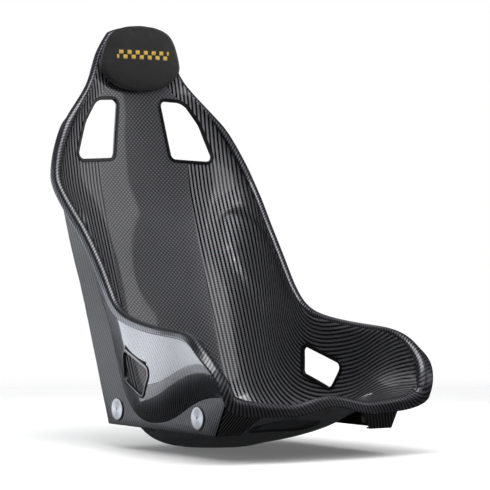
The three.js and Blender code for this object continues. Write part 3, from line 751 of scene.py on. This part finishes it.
def slotCutter(corners, axis, start, end, side):
    outline = roundedOutline(corners)
    rings = []
    for depth in (start, end):
        depths = np.full(len(outline), depth)
        a, b = outline.T
        rings.append(np.stack([depths, a, b] if axis == 0 else [a, depths, b], -1) * np.array([side, 1, 1]))
    mesh = meshFrom("slot_cutter", np.concatenate(rings), loftFaces(2, len(outline)),
                    [finishes["bareResin"]])
    return pointOutward(newPiece("slot_cutter", mesh, None))


def recessCutter():
    # A shallow tray that follows the underside, wider at its mouth
    outer = outerLayer(sheetPoints, sheetNormals, bucket["skin"])
    below = BVHTree.FromPolygons([Vector(p) for p in outer.reshape(-1, 3)],
                                 gridQuads(*outer.shape[:2]).tolist())
    outline = roundedOutline(underRecess["corners"])
    middle = outline.mean(0)
    rings = []
    outside, inside = -underRecess["clearance"], underRecess["depth"]
    for share, height in ((0.03, outside), (0.5, outside), (1.03, outside), (0.95, inside), (0.5, inside),
                          (0.03, inside)):
        spots = middle + (outline - middle) * share
        floor = np.array([below.ray_cast(Vector((x, y, -60)), Vector((0, 0, 1)))[0] for x, y in spots])
        floor[:, 2] += height
        rings.append(floor)
    mesh = meshFrom("recess_cutter", np.concatenate(rings), loftFaces(len(rings), len(outline)),
                    [finishes["bareResin"]])
    return pointOutward(newPiece("recess_cutter", mesh, None))


def pointOutward(piece):
    shape = bmesh.new()
    shape.from_mesh(piece.data)
    bmesh.ops.recalc_face_normals(shape, faces=shape.faces)
    shape.to_mesh(piece.data)
    shape.free()
    return piece


sheetPoints, sheetNormals, sheetCloth = bucketSheet()
shell = newPiece("bucket_shell_fine", makeShell(sheetPoints, sheetNormals, sheetCloth), "seat",
                 ["bucket_shell"])
slotCutters = [slotCutter(harnessSlot, 1, 320, 450, side) for side in (1, -1)]
slotCutters += [slotCutter(lapSlot, 0, 190, 245, side) for side in (1, -1)]
carve(shell, [*slotCutters, recessCutter()])
print("bucket shell made,", len(shell.data.polygons), "faces")


sideBox = {
    "innerX": 106,
    "wall": 3.0,
    "returnWidth": 12,      # flange left round the open underside
    "cornerRadius": 6,
    "fit": 0.3,
    "boltHole": 30.6,
    # Height, front edge, rear edge, outer face
    "levels": [
        (45, -206, 184, 198), (120, -249, 215, 198), (160, -243, 231, 198), (200, -203, 248, 198),
        (227, -113, 259, 198), (242, 54, 265, 198), (254, 106, 269, 199), (274, 138, 275, 200),
        (294, 156, 281, 202), (314, 172, 286, 204), (352, 199, 297, 209), (391, 230, 307, 214),
        (427, 261, 315, 218), (459, 291, 323, 221), (482, 309, 328, 223),
    ],
}


def boxRing(height, front, rear, outer, inner, inset=0.0, radius=6.0, steps=6):
    # Rounded on the two outer corners, anticlockwise from above
    front, rear, outer = front + inset, rear - inset, outer - inset
    radius = max(radius - inset, 0.5)
    turns = np.linspace(-math.pi / 2, 0, steps)
    low = np.stack([outer - radius + radius * np.cos(turns), front + radius + radius * np.sin(turns)], -1)
    turns = turns + math.pi / 2
    high = np.stack([outer - radius + radius * np.cos(turns), rear - radius + radius * np.sin(turns)], -1)
    flat = np.concatenate([[[inner, front]], low, high, [[inner, rear]]])
    return np.column_stack([flat, np.full(len(flat), height)])


def boxLoft(name, rings):
    mesh = meshFrom(name, np.concatenate(rings), loftFaces(len(rings), len(rings[0])))
    return pointOutward(newPiece(name, mesh, None))


def roundBar(name, radius, y, z, start, end, steps=64):
    turns = np.linspace(0, 2 * math.pi, steps, endpoint=False)
    rings = [np.column_stack([np.full(steps, x), y + radius * np.cos(turns), z + radius * np.sin(turns)])
             for x in (start, end)]
    return boxLoft(name, rings)


def bucketFilling():
    # All that lies inside the back face of the bucket, closed over by a cone, grown by the fit
    outer = outerLayer(sheetPoints, sheetNormals, bucket["skin"] + sideBox["fit"])
    rows, width = outer.shape[:2]
    loop = edgeLoop((rows, width))
    edge = loop[:, 0] * width + loop[:, 1]
    hub = rows * width
    lid = [(b, a, hub) for a, b in zip(edge, np.roll(edge, -1))]
    points = np.concatenate([outer.reshape(-1, 3), [[0, -60, 520]]])
    mesh = meshFrom("bucket_filling", points, [*gridQuads(rows, width), *lid])
    return pointOutward(newPiece("bucket_filling", mesh, None))


def clothOnBox(mesh):
    # Lays the cloth flat on each face: y and z on the side walls, x and z on the ends, x and y underneath
    layer = mesh.uv_layers.new(name="cloth")
    for polygon in mesh.polygons:
        facing = [abs(value) for value in polygon.normal]
        keep = {0: (1, 2), 1: (0, 2), 2: (0, 1)}[facing.index(max(facing))]
        for corner in polygon.loop_indices:
            place = mesh.vertices[mesh.loops[corner].vertex_index].co
            layer.data[corner].uv = (place[keep[0]], place[keep[1]])


def makeSideBox():
    wall, inner, rim = sideBox["wall"], sideBox["innerX"], sideBox["returnWidth"]
    levels, radius = sideBox["levels"], sideBox["cornerRadius"]
    z0, front0, rear0, outer0 = levels[0]
    outside = [boxRing(z0, front0, rear0, outer0, inner, 1.2, radius),
               boxRing(z0 + 0.4, front0, rear0, outer0, inner, 0.4, radius)]
    outside += [boxRing(z + (1.4 if k == 0 else 0), y0, y1, x, inner, 0, radius)
                for k, (z, y0, y1, x) in enumerate(levels)]
    last = len(levels) - 1
    hollow = [boxRing(z + (wall if k == 0 else 0) - (wall if k == last else 0), y0, y1, x, inner - 20,
                      wall, radius)
              for k, (z, y0, y1, x) in enumerate(levels)]
    mouth = [boxRing(z, front0 + rim, rear0 - rim, outer0 - rim, inner - 20)
             for z in (z0 - 5, z0 + wall + 4)]
    corner = [np.array([(90, y, 38), (154, y, 38), (96, y, 92), (90, y, 92)], float) for y in (-270, -188)]
    box = boxLoft("side_box_left_fine", outside)
    cutters = [boxLoft("hollow", hollow), boxLoft("mouth", mouth), boxLoft("corner", corner),
               bucketFilling()]
    cutters += [roundBar("bolt_hole", sideBox["boltHole"] / 2, y, boltHeight, outer0 - 20, outer0 + 10)
                for y in (-boltPitch / 2, boltPitch / 2)]
    carve(box, cutters)
    keepLargest(box)
    clothOnBox(box.data)
    box.data.materials.clear()
    box.data.materials.append(finishes["boxTwill"])
    return box.data


def keepLargest(piece):
    # A cut can leave crumbs; only the largest connected part stays
    shape = bmesh.new()
    shape.from_mesh(piece.data)
    left, parts = set(shape.verts), []
    while left:
        found, edge = set(), [left.pop()]
        while edge:
            vertex = edge.pop()
            found.add(vertex)
            for link in vertex.link_edges:
                other = link.other_vert(vertex)
                if other in left:
                    left.discard(other)
                    edge.append(other)
        parts.append(found)
    parts.sort(key=len)
    bmesh.ops.delete(shape, geom=[v for part in parts[:-1] for v in part], context="VERTS")
    shape.to_mesh(piece.data)
    shape.free()


leftBox = makeSideBox()
bpy.data.objects.remove(bpy.data.objects["side_box_left_fine"])
leftBox.name = "side_box_left_fine"
for name, mesh in (("left", leftBox), ("right", mirrorMesh(leftBox, "side_box_right_fine"))):
    box = newPiece(f"side_box_{name}_fine", mesh, "seat", [f"side_box_{name}"])
    mesh.set_sharp_from_angle(angle=math.radians(32))
print("side boxes made")

edging = {
    "leg": 5.0,             # mm over each face of the laminate
    "gauge": 1.6,
    "fit": 0.3,
    "tip": 0.8,             # radius of the end of a leg
}


def arc(centre, radius, start, end, steps=6):
    turns = np.radians(np.linspace(start, end, steps))
    return [(centre[0] + radius * math.cos(a), centre[1] + radius * math.sin(a)) for a in turns]


def edgingSection():
    # U section as (across, height): across runs from the slot into the laminate
    inside = bucket["skin"] / 2 + edging["fit"]
    outside, tip = inside + edging["gauge"], edging["tip"]
    middle, end = (inside + outside) / 2, edging["leg"] - tip
    bend = (-edging["fit"], inside)
    return [*arc((end, -middle), tip, 90, -90), *arc((bend[0], -bend[1]), edging["gauge"], -90, -180),
            *arc(bend, edging["gauge"], 180, 90), *arc((end, middle), tip, 90, -90), bend,
            (bend[0], -bend[1])]


def lineMesh(name, points, closed=True):
    count = len(points)
    edges = [(k, (k + 1) % count) for k in range(count if closed else count - 1)]
    mesh = bpy.data.meshes.new(name)
    mesh.from_pydata(np.asarray(points, float).tolist(), edges, [])
    return mesh


def newTree(name, inputs):
    # A geometry tree with named inputs; returns it with its input sockets by name
    tree = bpy.data.node_groups.new(name, "GeometryNodeTree")
    tree.interface.new_socket("Geometry", in_out="INPUT", socket_type="NodeSocketGeometry")
    tree.interface.new_socket("Geometry", in_out="OUTPUT", socket_type="NodeSocketGeometry")
    for label, kind in inputs.items():
        tree.interface.new_socket(label, in_out="INPUT", socket_type=kind)
    return tree, addNode(tree, "NodeGroupInput").outputs


def closeTree(tree, geometry, finish):
    real = addNode(tree, "GeometryNodeRealizeInstances", Geometry=geometry)
    soft = addNode(tree, "GeometryNodeSetShadeSmooth", Geometry=real.outputs[0])
    dressed = addNode(tree, "GeometryNodeSetMaterial", Geometry=soft.outputs[0], Material=finish)
    addNode(tree, "NodeGroupOutput", Geometry=dressed.outputs[0])


def growMesh(name, seed, tree, values):
    # Runs a tree on a seed mesh with its inputs set by identifier, and returns the plain mesh
    carrier = bpy.data.objects.new(name, seed)
    scene.collection.objects.link(carrier)
    grow = carrier.modifiers.new(name, "NODES")
    grow.node_group = tree
    for item in tree.interface.items_tree:
        if item.in_out == "INPUT" and item.name in values:
            grow[item.identifier] = values[item.name]
    carrier.update_tag()
    bakeModifiers(carrier)
    mesh = carrier.data
    bpy.data.objects.remove(carrier)
    mesh.name = name
    return mesh


def sweepTree():
    # Sweeps a closed section along a closed line; the section's height follows the line's "lean"
    tree, given = newTree("edgingSweep", {"Section": "NodeSocketObject", "Finish": "NodeSocketMaterial"})
    path = addNode(tree, "GeometryNodeMeshToCurve", Mesh=given["Geometry"])
    lean = addNode(tree, "GeometryNodeInputNamedAttribute", {"data_type": "FLOAT_VECTOR"}, Name="lean")
    leaning = addNode(tree, "GeometryNodeSetCurveNormal", {"mode": "FREE"}, Curve=path.outputs[0],
                      Normal=lean.outputs["Attribute"])
    shape = addNode(tree, "GeometryNodeObjectInfo", Object=given["Section"])
    section = addNode(tree, "GeometryNodeMeshToCurve", Mesh=shape.outputs["Geometry"])
    swept = addNode(tree, "GeometryNodeCurveToMesh", Curve=leaning.outputs[0],
                    Profile_Curve=section.outputs[0])
    closeTree(tree, swept.outputs[0], given["Finish"])
    return tree


def landLine(tree, outline, axis, start):
    # Where lines along X or Y through an outline meet the inner surface, with the normals there
    points, normals = [], []
    for a, b in outline:
        source = Vector((start, a, b)) if axis == 0 else Vector((a, start, b))
        place, normal, _, _ = tree.ray_cast(source, Vector((1, 0, 0)) if axis == 0 else Vector((0, 1, 0)))
        points.append(place)
        normals.append(normal if normal[axis] > 0 else -normal)
    points, normals = np.array(points), np.array(normals)
    for _ in range(4):
        normals = np.roll(normals, 1, 0) + 2 * normals + np.roll(normals, -1, 0)
        normals /= np.linalg.norm(normals, axis=1, keepdims=True)
    return points, normals


def makeEdging(name, corners, axis, start, side, sweep, section):
    surface = BVHTree.FromPolygons([Vector(p) for p in sheetPoints.reshape(-1, 3)],
                                   gridQuads(*sheetPoints.shape[:2]).tolist())
    points, normals = landLine(surface, roundedOutline(corners, steps=10, spacing=2.5), axis, start)
    points = points + normals * bucket["skin"] / 2
    runs = np.roll(points, -1, 0) - np.roll(points, 1, 0)
    outward = points - points.mean(0)
    if (np.cross(runs, normals) * outward).sum() < 0:
        points, normals = points[::-1], normals[::-1]
    flip = np.array([side, 1, 1])
    points, normals = (points * flip + seatOrigin) * mm, normals * flip
    if side < 0:
        points, normals = points[::-1], normals[::-1]
    seed = lineMesh(name, points)
    lean = seed.attributes.new("lean", "FLOAT_VECTOR", "POINT")
    lean.data.foreach_set("vector", normals.astype(np.float32).ravel())
    mesh = growMesh(f"{name}_fine", seed, sweep, {"Section": section, "Finish": finishes["blackEdging"]})
    return pointOutward(newPiece(f"{name}_fine", mesh, "seat", [name]))


sweep = sweepTree()
sectionPoints = [(height * mm, across * mm, 0) for across, height in edgingSection()]
section = bpy.data.objects.new("edging_section", lineMesh("edging_section", sectionPoints))
scene.collection.objects.link(section)
for label, side in (("left", 1), ("right", -1)):
    makeEdging(f"harness_slot_trim_{label}", harnessSlot, 1, 0, side, sweep, section)
    makeEdging(f"lap_slot_trim_{label}", lapSlot, 0, 100, side, sweep, section)
bpy.data.objects.remove(section)
print("slot edgings made")


bobbin = {
    "sides": 96,
    "disc": 21.5,           # radius of the face, mm
    "shank": 15.0,
    "lip": 1.7,             # thickness of the disc
    "chamfer": 0.6,
    "pip": 1.1,             # radius of the centre mark
}


def bobbinProfile(face, end):
    disc, shank, chamfer, pip = (bobbin[key] for key in ("disc", "shank", "chamfer", "pip"))
    under = face - bobbin["lip"]
    return [(pip, face - 0.7), (pip + 0.5, face - 0.1), (pip + 0.9, face), (6, face), (12, face), (17, face),
            (disc - chamfer, face), (disc - chamfer * 0.3, face - chamfer * 0.3), (disc, face - chamfer),
            (disc, under), (shank, under), (shank, end + 1), (shank - 1, end)]


def makeBobbin(name, side):
    low, high = (Vector(corner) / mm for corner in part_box(name))
    middle = (low + high) / 2
    face, end = (high.x, low.x) if side > 0 else (-low.x, -high.x)
    profile, sides = bobbinProfile(face, end), bobbin["sides"]
    turns = np.linspace(0, 2 * math.pi, sides, endpoint=False)
    rings = [np.column_stack([np.full(sides, side * x), middle.y - seatOrigin[1] + r * np.cos(turns),
                              middle.z + r * np.sin(turns)]) for r, x in profile]
    faces = loftFaces(len(rings), sides)
    uvs = []
    for face in faces[:-2]:
        for spot, corner in enumerate(face):
            turn = corner % sides + (sides if spot in (1, 2) and corner % sides == 0 else 0)
            ring = corner // sides
            depth = sum(math.dist(profile[k], profile[k + 1]) for k in range(ring))
            uvs.append((turn * 3.0, depth))
    uvs += [(math.cos(t), math.sin(t)) for t in turns] * 2
    mesh = meshFrom(f"{name}_fine", np.concatenate(rings), faces, [finishes["turnedAluminium"]], None, uvs,
                    "turned")
    piece = pointOutward(newPiece(f"{name}_fine", mesh, "seat", [name]))
    mesh.set_sharp_from_angle(angle=math.radians(25))
    return piece


for end in ("front", "rear"):
    for label, side in (("left", 1), ("right", -1)):
        makeBobbin(f"mounting_bobbin_{end}_{label}", side)
print("bobbins made")


pad = {
    "centre": (0, 770),
    "around": 120,          # points round the outline
    "back": 403.2,          # plane where it lies on its board, mm
    "voxel": 0.004,
    "pressure": 4.0,
    "frames": 20,
    "swell": 5.0,           # mm that the cover may move
    "weltRadius": 1.0,
    "stitchPitch": 3.6,
    "stitchLength": 2.4,
    # Half outline x, z from bottom centre to top centre
    "outline": [
        (0, 705), (22, 707), (42, 711), (60, 718), (76, 727), (88, 739), (94, 752),
        (92, 767), (87, 785), (81, 803), (73, 819), (57, 831), (32, 838), (0, 841),
    ],
    # Share of the outline and depth, from the back to the crown
    "section": [
        (0.05, 403.2), (0.5, 403.2), (0.9, 403.2), (0.98, 402.2), (1.0, 399), (1.005, 394), (0.985, 389),
        (0.94, 386.2), (0.84, 384.8), (0.64, 383.8), (0.35, 383.4), (0.05, 383.3),
    ],
}


def padOutline(share=1.0):
    # Closed smooth outline through the control points, scaled about the pad's centre
    half = pad["outline"]
    control = np.array(half + [(-x, z) for x, z in half[-2:0:-1]], float)
    count = len(control)
    place = np.linspace(0, count, pad["around"], endpoint=False)
    span, t = place.astype(int), (place % 1)[:, None]
    curve = sum(weight * control[(span + k - 1) % count] for k, weight in enumerate(splineWeights(t))) / 6
    centre = np.array(pad["centre"])
    return centre + (curve - centre) * share


def padRing(share, y):
    outline = padOutline(share)
    return np.column_stack([outline[:, 0], np.full(len(outline), y), outline[:, 1]])


def inflate(piece):
    # Lets the cover swell like a stuffed cover on its board, then caps how far each point moved
    vertices = piece.data.vertices
    start = np.array([v.co for v in vertices])
    backPlane = (pad["back"] + seatOrigin[1]) * mm
    pinned = piece.vertex_groups.new(name="board")
    pinned.add([v.index for v in vertices if v.co.y > backPlane - 0.0015], 1.0, "REPLACE")
    cloth = piece.modifiers.new("cloth", "CLOTH").settings
    cloth.quality = 6
    cloth.use_pressure = True
    cloth.uniform_pressure_force = pad["pressure"]
    cloth.effector_weights.gravity = 0
    cloth.vertex_group_mass = pinned.name
    for number in range(1, pad["frames"] + 1):
        scene.frame_set(number)
    bakeModifiers(piece)
    scene.frame_set(1)
    swollen = np.array([v.co for v in piece.data.vertices])
    moved = swollen - start
    length = np.linalg.norm(moved, axis=1, keepdims=True)
    final = start + moved * np.minimum(1, pad["swell"] * mm / np.maximum(length, 1e-9))
    final[:, 1] = np.minimum(final[:, 1], backPlane)
    piece.data.vertices.foreach_set("co", final.astype(np.float32).ravel())
    piece.data.update()


def makePadCover():
    rings = [padRing(share, y) for share, y in pad["section"]]
    mesh = meshFrom("head_pad_cover_soft", np.concatenate(rings), loftFaces(len(rings), pad["around"]))
    cover = pointOutward(newPiece("head_pad_cover_soft", mesh, "head_pad", ["head_pad_cover"]))
    even = cover.modifiers.new("even", "REMESH")
    even.mode, even.voxel_size = "VOXEL", pad["voxel"]
    bakeModifiers(cover)
    inflate(cover)
    cover.modifiers.new("smooth", "SUBSURF").levels = 1
    bakeModifiers(cover)
    cover.data.materials.clear()
    cover.data.materials.append(finishes["suede"])
    cover.data.polygons.foreach_set("use_smooth", np.ones(len(cover.data.polygons), bool))
    return cover


def coverSurface(cover):
    return BVHTree.FromPolygons([v.co for v in cover.data.vertices],
                                [list(p.vertices) for p in cover.data.polygons])


def seamLine(surface, share, y):
    # A line on the cover nearest to a ring of the pad's outline, with the cover's normals
    ring = (padRing(share, y) + seatOrigin) * mm
    hits = [surface.find_nearest(Vector(place)) for place in ring]
    return np.array([hit[0] for hit in hits]), np.array([hit[1] for hit in hits])


def sinkSeam(cover, line):
    # Pulls the cover in under the seam
    seam = BVHTree.FromPolygons([Vector(p) for p in np.repeat(line, 2, 0)],
                                [(2 * k, 2 * k + 1, (2 * k + 2) % (2 * len(line)))
                                 for k in range(len(line))])
    cover.data.update()
    for vertex in cover.data.vertices:
        _, _, _, gap = seam.find_nearest(vertex.co)
        vertex.co -= vertex.normal * 0.0011 * math.exp(-(gap / 0.0028) ** 2)
    cover.data.update()


def roundSection(radius, sides=10):
    turns = np.linspace(0, 2 * math.pi, sides, endpoint=False)
    return [(radius * mm * math.cos(a), radius * mm * math.sin(a), 0) for a in turns]


def stitchMesh(length, width, rings=5, sides=8):
    # One thread run with tapered ends, along X
    shares = np.linspace(-1, 1, rings)
    turns = np.linspace(0, 2 * math.pi, sides, endpoint=False)
    points = []
    for share in shares:
        size = width / 2 * math.sqrt(max(1 - abs(share) ** 3 * 0.92, 0.05))
        points += [(share * length / 2 * mm, size * mm * math.cos(a), size * mm * math.sin(a))
                   for a in turns]
    mesh = bpy.data.meshes.new("stitch")
    mesh.from_pydata(points, [], loftFaces(rings, sides))
    return mesh


def stitchTree():
    # Lays one stitch after another along a line, turned to its direction
    tree, given = newTree("seamStitches", {"Stitch": "NodeSocketObject", "Pitch": "NodeSocketFloat",
                                           "Finish": "NodeSocketMaterial"})
    path = addNode(tree, "GeometryNodeMeshToCurve", Mesh=given["Geometry"])
    even = addNode(tree, "GeometryNodeResampleCurve", {"mode": "LENGTH"}, Curve=path.outputs[0],
                   Length=given["Pitch"])
    heading = addNode(tree, "GeometryNodeInputTangent")
    turned = addNode(tree, "FunctionNodeAlignRotationToVector", {"axis": "X"}, Vector=heading.outputs[0])
    shape = addNode(tree, "GeometryNodeObjectInfo", Object=given["Stitch"])
    laid = addNode(tree, "GeometryNodeInstanceOnPoints", Points=even.outputs[0],
                   Instance=shape.outputs["Geometry"],
                   Rotation=turned.outputs[0])
    closeTree(tree, laid.outputs[0], given["Finish"])
    return tree


strip = {
    "halfWidth": 62,        # mm
    "bottom": 770,
    "check": 9.5,
    "rows": 2,
    "threads": 6,           # satin threads side by side in one check
    "thickness": 1.1,
}


def stripTree():
    # Embroidered chequered strip: upright threads dropped onto the cover, every other check left open
    tree, given = newTree("chequeredStrip", {
        "Thread": "NodeSocketObject", "Cover": "NodeSocketObject", "Check": "NodeSocketFloat",
        "Finish": "NodeSocketMaterial"})
    spot = addNode(tree, "GeometryNodeInputPosition").outputs[0]
    parts = addNode(tree, "ShaderNodeSeparateXYZ", Vector=spot)
    counts = []
    for axis in ("X", "Z"):
        share = addNode(tree, "ShaderNodeMath", {"operation": "DIVIDE"}, i0=parts.outputs[axis],
                        i1=given["Check"])
        counts.append(addNode(tree, "ShaderNodeMath", {"operation": "FLOOR"},
                              i0=share.outputs[0]).outputs[0])
    both = addNode(tree, "ShaderNodeMath", {"operation": "ADD"}, i0=counts[0], i1=counts[1]).outputs[0]
    odd = addNode(tree, "ShaderNodeMath", {"operation": "FLOORED_MODULO"}, i0=both, i1=2.0).outputs[0]
    kept = addNode(tree, "FunctionNodeCompare", {"operation": "LESS_THAN"}, i0=odd, i1=0.5).outputs[0]
    cover = addNode(tree, "GeometryNodeObjectInfo", Object=given["Cover"])
    drop = addNode(tree, "GeometryNodeRaycast", Target_Geometry=cover.outputs["Geometry"],
                   Source_Position=spot, Ray_Direction=(0, 1, 0), Ray_Length=0.2)
    landed = addNode(tree, "GeometryNodeSetPosition", Geometry=given["Geometry"],
                     Position=drop.outputs["Hit Position"])
    shape = addNode(tree, "GeometryNodeObjectInfo", Object=given["Thread"])
    laid = addNode(tree, "GeometryNodeInstanceOnPoints", Points=landed.outputs[0], Selection=kept,
                   Instance=shape.outputs["Geometry"])
    closeTree(tree, laid.outputs[0], given["Finish"])
    return tree


def hiddenShape(name, mesh):
    shape = bpy.data.objects.new(name, mesh)
    scene.collection.objects.link(shape)
    return shape


def makeStrip(cover):
    check, threads = strip["check"], strip["threads"]
    pitch = check / threads
    lowZ, depth = strip["bottom"], 370
    count = int(2 * strip["halfWidth"] / check) * threads
    spots = [(((k + 0.5) * pitch - count * pitch / 2), depth, lowZ + (row + 0.5) * check)
             for row in range(strip["rows"]) for k in range(count)]
    seed = bpy.data.meshes.new("strip_seed")
    seed.from_pydata(((np.array(spots) + seatOrigin) * mm).tolist(), [], [])
    upright = stitchMesh(check * 0.98, pitch * 1.15)
    for vertex in upright.vertices:
        vertex.co = (vertex.co.y, vertex.co.z * strip["thickness"] / pitch, vertex.co.x)
    thread = hiddenShape("strip_thread", upright)
    mesh = growMesh("head_pad_badge_strip", seed, stripTree(), {
        "Thread": thread, "Cover": cover, "Check": check * mm, "Finish": finishes["thread"]})
    bpy.data.objects.remove(thread)
    return newPiece("head_pad_badge_strip", mesh, "head_pad", ["head_pad_badge"])


cover = makePadCover()
surface = coverSurface(cover)
seam, _ = seamLine(surface, 1.02, 389.5)
topLine, topNormals = seamLine(surface, 0.93, 380)
sinkSeam(cover, seam)

weltSection = hiddenShape("welt_section", lineMesh("welt_section", roundSection(pad["weltRadius"])))
seamSeed = lineMesh("seam", seam)
seamLean = seamSeed.attributes.new("lean", "FLOAT_VECTOR", "POINT")
seamLean.data.foreach_set("vector", np.tile([0, -1, 0], len(seam)).astype(np.float32))
welt = growMesh("head_pad_welt", seamSeed, sweep, {"Section": weltSection, "Finish": finishes["welt"]})
pointOutward(newPiece("head_pad_welt", welt, "head_pad"))
bpy.data.objects.remove(weltSection)

stitch = hiddenShape("seam_stitch", stitchMesh(pad["stitchLength"], 0.7))
stitches = growMesh("head_pad_stitches", lineMesh("top_stitch", topLine + topNormals * 0.0001), stitchTree(),
                    {"Stitch": stitch, "Pitch": pad["stitchPitch"] * mm, "Finish": finishes["welt"]})
newPiece("head_pad_stitches", stitches, "head_pad")
bpy.data.objects.remove(stitch)
makeStrip(cover)
print("head pad made")


kept = {
    "head_pad_foam": "foam", "head_pad_board": "board",
    "loop_tape_lower": "tape", "loop_tape_upper": "tape", "hook_tape_lower": "tape",
    "hook_tape_upper": "tape",
    "backing_plate_front_left": "laminate", "backing_plate_front_right": "laminate",
    "backing_plate_rear_left": "laminate", "backing_plate_rear_right": "laminate",
}
for node, finish in kept.items():
    mesh = bpy.data.objects[node].data
    mesh.materials.clear()
    mesh.materials.append(finishes[finish])
print("inner pieces dressed")
